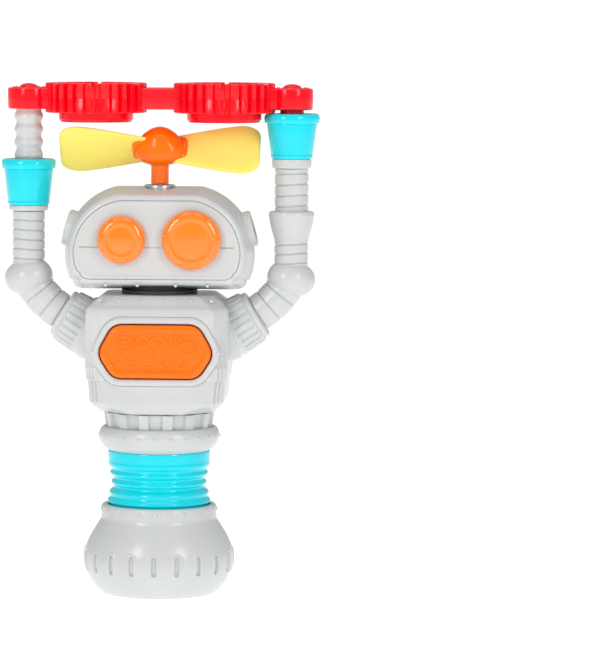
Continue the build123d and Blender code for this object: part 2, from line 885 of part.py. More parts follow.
# ---------------------------------------------------------------- arms
def make_shoulder():
    low = -shoulder_root_radius
    body = lathe(Line((0, low), (shoulder_root_radius, low)),
                 Line((shoulder_root_radius, low), (shoulder_root_radius, 0)),
                 Line((shoulder_root_radius, 0), (shoulder_end_radius, shoulder_length - 1)),
                 Line((shoulder_end_radius, shoulder_length - 1), (flange_radius, shoulder_length)),
                 Line((flange_radius, shoulder_length), (flange_radius, shoulder_length + flange_thickness)),
                 Line((flange_radius, shoulder_length + flange_thickness),
                      (0, shoulder_length + flange_thickness)),
                 Line((0, shoulder_length + flange_thickness), (0, low)))
    depth = shoulder_rib_depth
    lean = math.degrees(math.atan2(shoulder_root_radius - shoulder_end_radius, shoulder_length - 1))
    mid = (shoulder_root_radius + shoulder_end_radius) / 2
    groove = Pos(0, -mid, shoulder_length / 2) * Rot(X=-lean) * Box(0.7, 2 * depth, shoulder_length - 3)
    body = shoulder_plane() * (body - around(shoulder_rib_count, groove))
    body = body - root_plane() * block(-50, 50, -50, 50, -50, skin_gap)
    return body + root_plane() * rod(socket_radius, -socket_depth, 1)


def upper_arm_path():
    plane = shoulder_plane()
    begin = plane.from_local_coords(Vector(0, 0, shoulder_length + flange_thickness + skin_gap))
    finish = Vector(arm_reach - 0.6, 0, elbow_z)
    return TangentArc(begin, finish, tangent=plane.z_dir)


def elbow_form(grow):
    tall = elbow_half_height + grow
    wide = elbow_half_width + grow
    body = lathe(Line((0, -tall), (wide - tall, -tall)),
                 ThreePointArc((wide - tall, -tall), (wide, 0), (wide - tall, tall)),
                 Line((wide - tall, tall), (0, tall)), Line((0, tall), (0, -tall)))
    return Pos(arm_reach, 0, elbow_z) * Rot(Y=10) * body


def make_upper_arm():
    path = upper_arm_path()
    body = sweep(Plane(origin=path @ 0, z_dir=path % 0) * Circle(upper_arm_radius), path=path)
    for share in (0.3, 0.62):
        place = Plane(origin=path @ share, z_dir=path % share)
        body = body - place * Torus(upper_arm_radius, arm_groove)
    return body - elbow_form(skin_gap)


def make_elbow():
    return elbow_form(0)


def make_forearm(radius, top, grooves):
    body = rod(radius, elbow_z, top, arm_reach)
    for z in grooves:
        body = body - Pos(arm_reach, 0, z) * Rot(Y=4) * Torus(radius, arm_groove)
    return body - elbow_form(skin_gap)


def left_grooves():
    count = 5
    low = forearm_z + 2.6
    step = (left_collar_z - low) / count
    return [low + i * step for i in range(count)]


def right_grooves():
    lower = [forearm_z + 1.2, forearm_z + 5.8, forearm_z + 10.2]
    cuff_top = elbow_z + cuff_rise + cuff_height
    step = (right_collar_z - cuff_top) / 4
    upper = [cuff_top + (i + 0.5) * step for i in range(4)]
    return lower + upper


def make_right_cuff():
    low = elbow_z + cuff_rise
    top = low + cuff_height
    inner = right_forearm_radius + slip
    body = lathe(Line((inner, low), (cuff_foot_radius, low)),
                 ThreePointArc((cuff_foot_radius, low), (cuff_foot_radius + 1.7, low + cuff_height * 0.48),
                               (cuff_top_radius, top - 1.6)),
                 Line((cuff_top_radius, top - 1.6), (cuff_top_radius - 0.6, top)),
                 Line((cuff_top_radius - 0.6, top), (inner, top)), Line((inner, top), (inner, low)))
    return Pos(arm_reach, 0, 0) * body


def make_cup_collar(low, high):
    body = rod(cup_collar_radius, low + skin_gap, high - skin_gap, arm_reach)
    return fillet(body.edges().filter_by(GeomType.CIRCLE), 0.5)


def cup_form(low, top, foot, mouth, bore, bore_depth):
    rim_low = top - cup_rim
    body = lathe(Line((0, low), (foot - 0.8, low)), Line((foot - 0.8, low), (foot, low + 1)),
                 Line((foot, low + 1), (mouth - 1.1, rim_low)), Line((mouth - 1.1, rim_low), (mouth, rim_low + 1)),
                 Line((mouth, rim_low + 1), (mouth, top - 1.6)),
                 ThreePointArc((mouth, top - 1.6), (mouth - 0.5, top - 0.5), (mouth - 1.6, top)),
                 Line((mouth - 1.6, top), (0, top)), Line((0, top), (0, low)))
    body = body - rod(bore, top - bore_depth, top + 1)
    return Pos(arm_reach, 0, 0) * body


def make_left_cup():
    return cup_form(left_cup_z, left_cup_top_z, left_cup_foot_radius, left_cup_mouth_radius,
                    grip_crest_radius + cup_clearance, grip_seat + cup_clearance)


def make_right_cup():
    return cup_form(right_cup_z, right_cup_top_z, right_cup_foot_radius, right_cup_mouth_radius,
                    peg_radius + cup_clearance, peg_seat + cup_clearance)


# ---------------------------------------------------------------- wand
def gear_outline():
    """Ring gear in plan: trapezoid teeth on a round body."""
    root = gear_radius - tooth_depth
    pitch = 2 * math.pi / tooth_count
    points = []
    for i in range(tooth_count):
        centre = i * pitch - math.pi / 2
        for share, radius in ((-0.31, root), (-0.2, gear_radius), (0.2, gear_radius), (0.31, root)):
            angle = centre + share * pitch
            points.append((radius * math.cos(angle), radius * math.sin(angle)))
    return make_face(Polyline(*points, close=True))


def make_gear(side):
    ring = extrude(Pos(side * gear_spacing, 0, gear_z) * gear_outline(), gear_height)
    x = side * gear_spacing
    skirt = lathe(Line((skirt_radius - 1.4, skirt_z), (skirt_radius, skirt_z + 1.4)),
                  Line((skirt_radius, skirt_z + 1.4), (skirt_radius, gear_z + 1)),
                  Line((skirt_radius, gear_z + 1), (0, gear_z + 1)), Line((0, gear_z + 1), (0, skirt_z)),
                  Line((0, skirt_z), (skirt_radius - 1.4, skirt_z)))
    body = ring + Pos(x, 0, 0) * skirt
    return body


def make_wand_frame():
    low = bar_z
    body = None
    for side in (-1, 1):
        gear = make_gear(side)
        body = gear if body is None else body + gear
    beam = block(-wand_half_length + tip_radius, wand_half_length - tip_radius, -bar_half_depth, bar_half_depth,
                 low, low + bar_height)
    body = body + beam
    for side in (-1, 1):
        body = body + rod(tip_radius, low, low + bar_height, side * (wand_half_length - tip_radius))
    for side in (-1, 1):
        x = side * gear_spacing
        body = body - rod(gear_bore_radius, skirt_z - 1, gear_top_z + 1, x)
        for way in (-1, 1):
            notch = block(x - notch_width / 2, x + notch_width / 2, min(0, way * 40), max(0, way * 40),
                          gear_top_z - notch_depth, gear_top_z + 1)
            body = body - notch
    seat = rod(grip_crest_radius - 2.5 + 0.02, low - 1, low + 4, -arm_reach)
    body = body - seat - rod(peg_radius - 2.0 + 0.02, low - 1, low + 4, arm_reach)
    return body


def make_wand_caps():
    caps = []
    for side in (-1, 1):
        x = side * arm_reach
        top = bar_z + bar_height
        dome = lathe(Line((0, top + skin_gap), (cap_radius, top + skin_gap)),
                     ThreePointArc((cap_radius, top + skin_gap), (cap_radius * 0.72, top + cap_height * 0.66),
                                   (pole, top + cap_height)),
                     Line((pole, top + cap_height), (0, top + cap_height)),
                     Line((0, top + cap_height), (0, top + skin_gap)))
        caps.append(Pos(x, 0, 0) * dome)
    return Compound(caps)


def make_wand_grip():
    """Ribbed round grip: crests and valleys at an even pitch, with a spigot into the bar."""
    low = left_cup_top_z - grip_seat
    high = bar_z - skin_gap
    count = math.floor((high - low) / grip_pitch)
    body = rod(grip_valley_radius, low, high)
    for i in range(count):
        z = high - (i + 0.75) * grip_pitch
        bead = lathe(Line((0, z - 2.6), (grip_valley_radius - 0.05, z - 2.6)),
                     ThreePointArc((grip_valley_radius - 0.05, z - 2.6), (grip_crest_radius, z),
                                   (grip_valley_radius - 0.05, z + 2.6)),
                     Line((grip_valley_radius - 0.05, z + 2.6), (0, z + 2.6)), Line((0, z + 2.6), (0, z - 2.6)))
        if z - 2.6 > low:
            body = body + bead
    body = body + rod(grip_crest_radius - 2.5, high - 1, high + 3.5)
    return Pos(-arm_reach, 0, 0) * body


def make_wand_peg():
    low = right_cup_top_z - peg_seat
    body = rod(peg_radius, low, bar_z - skin_gap, arm_reach)
    body = fillet(body.edges().group_by(Axis.Z)[0], 0.8)
    return body + rod(peg_radius - 2.0, bar_z - 2, bar_z + 3.5, arm_reach)


def build():
    os.makedirs("parts", exist_ok=True)
    save("base_shell", make_base_shell())
    save("base_plate", make_base_plate())
    save("base_screws", make_base_screws())
    save("grip_core", make_grip_core())
    save("grip_sleeve", make_grip_sleeve())
    save("collar_ring", make_collar_ring())
    save("waist_column", make_waist_column())
    save("torso_front_shell", make_torso_front())
    save("torso_rear_shell", make_torso_rear())
    save("torso_screws", make_torso_screws())
    save("button_bezel", make_bezel())
    save("chest_button", make_chest_button())
    save("button_springs", make_button_springs())
    save("circuit_board", make_circuit_board())
    save("push_switch", make_push_switch())
    save("battery_tray", make_battery_tray())
    save("battery_cells", make_battery_cells())
    save("contact_springs", make_contacts(True))
    save("contact_plates", make_contacts(False))
    save("battery_door", make_battery_door())
    save("door_screw", make_door_screw())
    save("wire_leads", make_wire_leads())
    save("neck_collar", make_neck_collar())
    save("head_front_shell", make_head_front())
    save("head_rear_shell", make_head_rear())
    save("head_screws", make_head_screws())
    save("face_plate", make_face_plate())
    save("left_eye", make_eye(-eye_spread, left_eye_radius))
    save("right_eye", make_eye(eye_spread, right_eye_radius))
    save("motor_can", make_motor_can())
    save("motor_end_cap", make_motor_cap())
    save("motor_mount", make_motor_mount())
    save("motor_screws", make_motor_screws())
    save("shaft_eyelet", make_shaft_eyelet())
    save("motor_shaft", make_motor_shaft())
    save("fan_hub", make_fan_hub())
    save("left_fan_blade", make_fan_blade(-1))
    save("right_fan_blade", make_fan_blade(1))
    for name, make in (("ear_ring", make_ear_ring), ("ear_cap", make_ear_cap),
                       ("shoulder", make_shoulder), ("upper_arm", make_upper_arm),
                       ("elbow", make_elbow)):
        right = make()
        save("right_" + name, right)
        save("left_" + name, mirror(right, Plane.YZ))
    save("right_forearm", make_forearm(right_forearm_radius, right_collar_z, right_grooves()))
    left_arm = make_forearm(left_forearm_radius, left_collar_z, left_grooves())
    save("left_forearm", mirror(left_arm, Plane.YZ))
    save("right_cuff", make_right_cuff())
    save("right_cup_collar", make_cup_collar(right_collar_z, right_cup_z))
    save("left_cup_collar", mirror(make_cup_collar(left_collar_z, left_cup_z), Plane.YZ))
    save("right_cup", make_right_cup())
    save("left_cup", mirror(make_left_cup(), Plane.YZ))
    save("wand_frame", make_wand_frame())
    save("wand_end_caps", make_wand_caps())
    save("wand_grip", make_wand_grip())
    save("wand_peg", make_wand_peg())


build()
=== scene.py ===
import bpy
import math
from mathutils import Matrix, Vector


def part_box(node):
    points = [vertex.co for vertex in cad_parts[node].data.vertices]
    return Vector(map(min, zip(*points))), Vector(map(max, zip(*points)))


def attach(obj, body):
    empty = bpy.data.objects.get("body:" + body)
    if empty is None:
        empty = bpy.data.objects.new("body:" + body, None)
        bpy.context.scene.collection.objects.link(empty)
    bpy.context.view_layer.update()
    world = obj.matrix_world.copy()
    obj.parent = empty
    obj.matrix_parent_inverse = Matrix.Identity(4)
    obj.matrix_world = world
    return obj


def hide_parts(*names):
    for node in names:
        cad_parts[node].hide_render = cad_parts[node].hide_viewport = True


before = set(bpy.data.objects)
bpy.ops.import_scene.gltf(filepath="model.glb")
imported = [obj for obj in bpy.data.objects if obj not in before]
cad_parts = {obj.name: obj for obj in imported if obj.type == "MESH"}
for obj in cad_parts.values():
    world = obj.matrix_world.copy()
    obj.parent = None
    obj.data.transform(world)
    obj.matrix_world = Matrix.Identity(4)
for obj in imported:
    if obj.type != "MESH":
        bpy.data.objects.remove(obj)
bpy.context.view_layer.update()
print("frame loaded:", len(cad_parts), "nodes")

# Shapes are worked out in millimetres and written to the meshes in metres.
mm = 0.001
tau = 2 * math.pi


def cadBox(node):
    low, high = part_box(node)
    return low / mm, high / mm


def smoothStep(low, high, value):
    t = min(1.0, max(0.0, (value - low) / (high - low)))
    return t * t * (3 - 2 * t)


def mix(a, b, t):
    return a + (b - a) * t


def newMesh(name, points, faces, sharp=32):
    mesh = bpy.data.meshes.new(name)
    mesh.from_pydata([(x * mm, y * mm, z * mm) for x, y, z in points], [], faces)
    mesh.validate()
    volume = 0.0
    for poly in mesh.polygons:
        corners = [mesh.vertices[i].co for i in poly.vertices]
        for i in range(1, len(corners) - 1):
            volume += corners[0].dot(corners[i].cross(corners[i + 1]))
    if volume < 0:                                     # faces point outwards
        mesh.flip_normals()
    mesh.shade_smooth()
    mesh.set_sharp_from_angle(angle=math.radians(sharp))
    piece = bpy.data.objects.new(name, mesh)
    bpy.context.scene.collection.objects.link(piece)
    return piece


def stack(name, loops, closed=False, sharp=32, flat=False):
    # loops -> one skin: the ends get a cap each (one face if flat), or meet when closed.
    count = len(loops[0])
    points = [p for loop in loops for p in loop]
    faces = []
    rings = len(loops)
    for j in range(rings if closed else rings - 1):
        a = j * count
        b = (j + 1) % rings * count
        for i in range(count):
            k = (i + 1) % count
            faces.append((a + i, a + k, b + k, b + i))
    if not closed:
        for j, back in ((0, True), (rings - 1, False)):
            loop = loops[j]
            if flat:
                ring = range(j * count, j * count + count)
                faces.append(tuple(reversed(ring)) if back else tuple(ring))
                continue
            middle = [sum(p[axis] for p in loop) / count for axis in range(3)]
            centre = len(points)
            points.append(middle)
            for i in range(count):
                k = (i + 1) % count
                edge = (j * count + k, j * count + i) if back else (j * count + i, j * count + k)
                faces.append((*edge, centre))
    return newMesh(name, points, faces, sharp)


def arc(centre, radius, start, stop, steps):
    angles = [math.radians(mix(start, stop, i / steps)) for i in range(steps + 1)]
    return [(centre[0] + radius * math.cos(a), centre[1] + radius * math.sin(a)) for a in angles]


def rounded(corners, steps=6, closed=False):
    # corners are (x, y, radius); gives the outline with every corner rounded.
    out = []
    count = len(corners)
    for i, (x, y, radius) in enumerate(corners):
        here = Vector((x, y))
        if not closed and i in (0, count - 1):
            out.append((x, y))
            continue
        before = Vector(corners[i - 1][:2])
        after = Vector(corners[(i + 1) % count][:2])
        a = (before - here).normalized()
        b = (after - here).normalized()
        half = a.angle(b) / 2
        reach = min(radius / math.tan(half), (before - here).length * 0.49, (after - here).length * 0.49)
        start = here + a * reach
        end = here + b * reach
        for s in range(steps + 1):
            t = s / steps
            p = start * (1 - t) ** 2 + here * 2 * t * (1 - t) + end * t * t
            out.append((p.x, p.y))
    return out


def through(points, steps=8):
    # Smooth curve through points (Catmull-Rom).
    out = []
    last = len(points) - 1
    for i in range(last):
        p0 = Vector(points[max(0, i - 1)])
        p1 = Vector(points[i])
        p2 = Vector(points[i + 1])
        p3 = Vector(points[min(last, i + 2)])
        for s in range(steps):
            t = s / steps
            p = 0.5 * (2 * p1 + (p2 - p0) * t + (2 * p0 - 5 * p1 + 4 * p2 - p3) * t * t
                       + (3 * p1 - p0 - 3 * p2 + p3) * t ** 3)
            out.append(tuple(p))
    out.append(tuple(points[-1]))
    return out


def spread(low, high, step):
    count = max(1, round((high - low) / step))
    return [mix(low, high, i / count) for i in range(count)]


def ringAngles(count, inner, pitchSteps):
    # Angles round a ring with extra ones at a repeated detail; inner gives its offsets in degrees.
    period = 360 / count
    offsets = sorted({round(o, 4) for o in inner} | {round(-o, 4) for o in inner} | {0.0})
    edge = offsets[-1]
    rest = [mix(edge, period - edge, (i + 1) / (pitchSteps + 1)) for i in range(pitchSteps)]
    return [math.radians(n * period + o - 90) for n in range(count) for o in offsets + rest]


def turned(name, profile, segments=96, closed=True, place=None, shape=None, angles=None, sharp=32):
    # Profile of (radius, height) turned about Z. shape(radius, height, angle) may move the skin.
    angles = angles or [tau * i / segments for i in range(segments)]
    loops = []
    for radius, height in profile:
        loop = []
        for a in angles:
            r = shape(radius, height, a) if shape else radius
            p = Vector((r * math.cos(a), r * math.sin(a), height))
            loop.append(tuple(place @ p) if place else tuple(p))
        loops.append(loop)
    return stack(name, loops, closed, sharp)


def placement(origin, direction, side=Vector((0, 1, 0))):
    # Matrix that lays local Z along a direction.
    z = Vector(direction).normalized()
    y = side.normalized()
    x = y.cross(z).normalized()
    y = z.cross(x)
    turn = Matrix((x, y, z)).transposed().to_4x4()
    return Matrix.Translation(Vector(origin)) @ turn


def cut(piece, *cutters):
    # Takes the cutters out of a piece and drops them.
    for cutter in cutters:
        tool = piece.modifiers.new("cut", "BOOLEAN")
        tool.object = cutter
        tool.solver = "EXACT"
        bpy.context.view_layer.update()
        fresh = bpy.data.meshes.new_from_object(piece.evaluated_get(bpy.context.evaluated_depsgraph_get()))
        piece.modifiers.clear()
        old = piece.data
        piece.data = fresh
        bpy.data.meshes.remove(old)
        bpy.data.objects.remove(cutter)
    piece.data.shade_smooth()
    piece.data.set_sharp_from_angle(angle=math.radians(32))
    return piece


def slab(name, outline, y0, y1, rnd=0.0, steps=3, taper=0.0):
    # Plate parallel to the face: outline(grow) in X and Z, rounded at its y0 edge.
    loops = [[(x, y1, z) for x, z in outline(0)], [(x, y0 + rnd, z) for x, z in outline(-taper)]]
    for s in range(1, steps + 1):
        a = math.pi / 2 * s / steps
        inset = taper + rnd * (1 - math.cos(a))
        loops.append([(x, y0 + rnd * (1 - math.sin(a)), z) for x, z in outline(-inset)])
    return stack(name, loops, flat=True)


def nodeTree(name, kind, inputs, outputs):
    tree = bpy.data.node_groups.new(name, kind)
    for label, socket, value in inputs:
        made = tree.interface.new_socket(name=label, in_out="INPUT", socket_type=socket)
        if value is not None:
            made.default_value = value
    for label, socket in outputs:
        tree.interface.new_socket(name=label, in_out="OUTPUT", socket_type=socket)
    return tree, tree.nodes.new("NodeGroupInput"), tree.nodes.new("NodeGroupOutput")


def buildMouldSkin():
    # Fine spark texture and slow flow marks of a moulded surface.
    tree, start, end = nodeTree("mouldSkin", "ShaderNodeTree",
                                [("Grain", "NodeSocketFloat", 900.0), ("Depth", "NodeSocketFloat", 0.3),
                                 ("Smooth", "NodeSocketFloat", 0.3), ("Spread", "NodeSocketFloat", 0.1)],
                                [("Height", "NodeSocketFloat"), ("Roughness", "NodeSocketFloat")])
    place = tree.nodes.new("ShaderNodeTexCoord")
    fine = tree.nodes.new("ShaderNodeTexNoise")
    slow = tree.nodes.new("ShaderNodeTexNoise")
    fine.inputs["Detail"].default_value = 3
    slow.inputs["Scale"].default_value = 34
    slow.inputs["Detail"].default_value = 2
    tree.links.new(place.outputs["Object"], fine.inputs["Vector"])
    tree.links.new(place.outputs["Object"], slow.inputs["Vector"])
    tree.links.new(start.outputs["Grain"], fine.inputs["Scale"])
    height = tree.nodes.new("ShaderNodeMath")
    height.operation = "MULTIPLY"
    tree.links.new(fine.outputs["Fac"], height.inputs[0])
    tree.links.new(start.outputs["Depth"], height.inputs[1])
    wave = tree.nodes.new("ShaderNodeMath")
    wave.operation = "MULTIPLY_ADD"
    tree.links.new(slow.outputs["Fac"], wave.inputs[0])
    tree.links.new(start.outputs["Spread"], wave.inputs[1])
    tree.links.new(start.outputs["Smooth"], wave.inputs[2])
    tree.links.new(height.outputs[0], end.inputs["Height"])
    tree.links.new(wave.outputs[0], end.inputs["Roughness"])
    return tree


def buildPaintedEdgeLight():
    # Painted highlight on convex edges, painted shade in creases, with a slow random change of tone.
    tree, start, end = nodeTree("paintedEdgeLight", "ShaderNodeTree",
                                [("Colour", "NodeSocketColor", (0.5, 0.5, 0.5, 1)),
                                 ("EdgeHighlight", "NodeSocketColor", (0.8, 0.8, 0.8, 1)),
                                 ("CreaseShade", "NodeSocketColor", (0.2, 0.2, 0.2, 1)),
                                 ("PaintedLightAmount", "NodeSocketFloat", 0.4), ("Shade", "NodeSocketFloat", 0.05)],
                                [("Colour", "NodeSocketColor")])
    geometry = tree.nodes.new("ShaderNodeNewGeometry")
    convex = tree.nodes.new("ShaderNodeMapRange")
    hollow = tree.nodes.new("ShaderNodeMapRange")
    # pointiness picks convex edges for the painted highlight and hollows for the painted shade
    for ramp, low, high in ((convex, 0.53, 0.62), (hollow, 0.47, 0.40)):
        ramp.inputs["From Min"].default_value = low
        ramp.inputs["From Max"].default_value = high
        tree.links.new(geometry.outputs["Pointiness"], ramp.inputs["Value"])
    place = tree.nodes.new("ShaderNodeTexCoord")
    noise = tree.nodes.new("ShaderNodeTexNoise")
    noise.inputs["Scale"].default_value = 55
    tree.links.new(place.outputs["Object"], noise.inputs["Vector"])
    value = tree.nodes.new("ShaderNodeMath")
    value.operation = "MULTIPLY_ADD"
    value.inputs[1].default_value = 1.0
    centred = tree.nodes.new("ShaderNodeMath")
    centred.operation = "SUBTRACT"
    centred.inputs[1].default_value = 0.5
    tree.links.new(noise.outputs["Fac"], centred.inputs[0])
    tree.links.new(centred.outputs[0], value.inputs[0])
    tree.links.new(start.outputs["Shade"], value.inputs[1])
    value.inputs[2].default_value = 1.0
    tone = tree.nodes.new("ShaderNodeHueSaturation")
    tree.links.new(value.outputs[0], tone.inputs["Value"])
    tree.links.new(start.outputs["Colour"], tone.inputs["Color"])
    last = tone.outputs["Color"]
    # mixes in the painted edge highlight colour, then the painted crease shade colour
    for ramp, label in ((convex, "EdgeHighlight"), (hollow, "CreaseShade")):
        amount = tree.nodes.new("ShaderNodeMath")
        amount.operation = "MULTIPLY"
        tree.links.new(ramp.outputs["Result"], amount.inputs[0])
        tree.links.new(start.outputs["PaintedLightAmount"], amount.inputs[1])
        blend = tree.nodes.new("ShaderNodeMix")
        blend.data_type = "RGBA"
        tree.links.new(amount.outputs[0], blend.inputs["Factor"])
        tree.links.new(last, blend.inputs["A"])
        tree.links.new(start.outputs[label], blend.inputs["B"])
        last = blend.outputs["Result"]
    tree.links.new(last, end.inputs["Colour"])
    return tree


mouldSkin = buildMouldSkin()
paintedEdgeLight = buildPaintedEdgeLight()


def plastic(name, colour, edge, creaseShade, smooth=0.3, spreadAmount=0.08, grain=900, depth=0.3, bump=0.0006,
            coat=0.0, coatRough=0.1, scatter=0.0, scatterColour=(1, 1, 1), paintedLightAmount=0.35, shade=0.06,
            metal=0.0, specular=0.5, sheen=0.0):
    # One finish: colour with a painted edge highlight and painted crease shade from the edge group, roughness
    # and grain from mouldSkin.
    made = bpy.data.materials.new(name)
    made.use_nodes = True
    tree = made.node_tree
    shader = tree.nodes["Principled BSDF"]
    tone = tree.nodes.new("ShaderNodeGroup")
    tone.node_tree = paintedEdgeLight
    skin = tree.nodes.new("ShaderNodeGroup")
    skin.node_tree = mouldSkin
    # the edge colour is a painted highlight on convex edges, the crease colour painted shade in hollows
    for label, value in (("Colour", colour), ("EdgeHighlight", edge), ("CreaseShade", creaseShade)):
        tone.inputs[label].default_value = (*value, 1)
    tone.inputs["PaintedLightAmount"].default_value = paintedLightAmount
    tone.inputs["Shade"].default_value = shade
    skin.inputs["Grain"].default_value = grain
    skin.inputs["Depth"].default_value = depth
    skin.inputs["Smooth"].default_value = smooth
    skin.inputs["Spread"].default_value = spreadAmount
    relief = tree.nodes.new("ShaderNodeBump")
    relief.inputs["Distance"].default_value = bump
    relief.inputs["Strength"].default_value = 0.35
    tree.links.new(tone.outputs["Colour"], shader.inputs["Base Color"])
    tree.links.new(skin.outputs["Roughness"], shader.inputs["Roughness"])
    tree.links.new(skin.outputs["Height"], relief.inputs["Height"])
    tree.links.new(relief.outputs["Normal"], shader.inputs["Normal"])
    shader.inputs["Metallic"].default_value = metal
    shader.inputs["Specular IOR Level"].default_value = specular
    shader.inputs["Coat Weight"].default_value = coat
    shader.inputs["Coat Roughness"].default_value = coatRough
    shader.inputs["Sheen Weight"].default_value = sheen
    if scatter:
        shader.inputs["Subsurface Weight"].default_value = scatter
        shader.inputs["Subsurface Radius"].default_value = scatterColour
        shader.inputs["Subsurface Scale"].default_value = 0.0015
    return made


# Each finish gives its own colour, then a lighter painted edge highlight colour and a darker painted crease
# shade colour.
finish = {
    "grey": plastic("greyShell", (0.575, 0.592, 0.59), (0.78, 0.79, 0.785), (0.30, 0.31, 0.31), smooth=0.25,
                    coat=0.25, coatRough=0.16, scatter=0.05, paintedLightAmount=0.4, specular=0.4),
    "cyan": plastic("cyanGloss", (0.0, 0.67, 0.78), (0.18, 0.88, 0.95), (0.0, 0.42, 0.55), smooth=0.13,
                    spreadAmount=0.04, coat=0.3, coatRough=0.05, specular=0.3),
    "red": plastic("redGloss", (0.93, 0.001, 0.012), (1.0, 0.07, 0.08), (0.42, 0.0, 0.006), smooth=0.16,
                   spreadAmount=0.04, coat=0.22, coatRough=0.06, specular=0.22),
    "orange": plastic("orangeGloss", (1.0, 0.165, 0.0), (1.0, 0.30, 0.02), (0.62, 0.07, 0.0), smooth=0.18,
                      spreadAmount=0.04, coat=0.2, coatRough=0.07, specular=0.22),
    "eye": plastic("eyeGloss", (1.0, 0.215, 0.0), (1.0, 0.36, 0.04), (0.75, 0.10, 0.0), smooth=0.12,
                   spreadAmount=0.03, coat=1.0, coatRough=0.03, specular=0.4),
    "foam": plastic("yellowFoam", (0.99, 0.82, 0.17), (1.0, 0.88, 0.36), (0.75, 0.50, 0.05), smooth=0.72,
                    spreadAmount=0.15, grain=1500, depth=1.0, bump=0.0005, scatter=0.12,
                    scatterColour=(1, 0.7, 0.2), sheen=0.15, specular=0.15),
    "dark": plastic("darkInner", (0.022, 0.022, 0.024), (0.08, 0.08, 0.08), (0.005, 0.005, 0.005),
                    smooth=0.5),
    "steel": plastic("platedSteel", (0.62, 0.62, 0.63), (0.85, 0.85, 0.86), (0.25, 0.25, 0.25), smooth=0.22,
                     grain=1400, metal=1.0, paintedLightAmount=0.3),
    "brass": plastic("brassContact", (0.75, 0.55, 0.24), (0.9, 0.75, 0.4), (0.3, 0.2, 0.08),
                     smooth=0.28, metal=1.0),
    "wrap": plastic("cellWrap", (0.05, 0.055, 0.065), (0.2, 0.2, 0.22), (0.01, 0.01, 0.01), smooth=0.3,
                    coat=0.3),
    "board": plastic("boardGreen", (0.015, 0.14, 0.05), (0.1, 0.3, 0.12), (0.005, 0.04, 0.01), smooth=0.35),
    "lead": plastic("redLead", (0.45, 0.01, 0.01), (0.7, 0.1, 0.1), (0.1, 0.0, 0.0), smooth=0.45),
}
print("materials made:", len(finish))


def fit(piece, kind, body, *nodes):
    # Gives a piece its finish and body, and hides the CAD nodes it stands for.
    piece.data.materials.clear()
    piece.data.materials.append(finish[kind])
    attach(piece, body)
    if nodes:
        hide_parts(*nodes)
    return piece


# CAD nodes that stay as they are get their finish here; a replaced node keeps it unseen.
keptFinish = {"base_plate": "grey", "grip_core": "dark", "circuit_board": "board", "push_switch": "dark",
              "battery_tray": "dark", "battery_cells": "wrap", "contact_plates": "brass",
              "wire_leads": "lead",
              "neck_collar": "dark", "motor_end_cap": "dark", "motor_mount": "dark", "wand_peg": "red"}
steelNodes = ("base_screws", "torso_screws", "button_springs", "contact_springs", "door_screw",
              "head_screws",
              "motor_can", "motor_screws", "shaft_eyelet", "motor_shaft")
for node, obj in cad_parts.items():
    kind = keptFinish.get(node, "steel" if node in steelNodes else "grey")
    obj.data.materials.clear()
    obj.data.materials.append(finish[kind])


baseHigh = cadBox("base_shell")[1]
sleeveLow, sleeveHigh = cadBox("grip_sleeve")
collarLow, collarHigh = cadBox("collar_ring")
columnLow, columnHigh = cadBox("waist_column")
torsoLow, torsoHigh = cadBox("torso_front_shell")
bezelLow, bezelHigh = cadBox("button_bezel")
buttonLow, buttonHigh = cadBox("chest_button")
headLow, headHigh = cadBox("head_front_shell")
faceLow, faceHigh = cadBox("face_plate")
hubLow, hubHigh = cadBox("fan_hub")
bladeLow, bladeHigh = cadBox("right_fan_blade")
wandLow, wandHigh = cadBox("wand_frame")
armReach = sum(c.x for c in cadBox("right_cup")) / 2
backY = cadBox("torso_rear_shell")[1].y
torsoZ = torsoLow.z
torsoTopZ = torsoHigh.z
headZ = headLow.z
headTopZ = headHigh.z
sides = (("left", -1), ("right", 1))


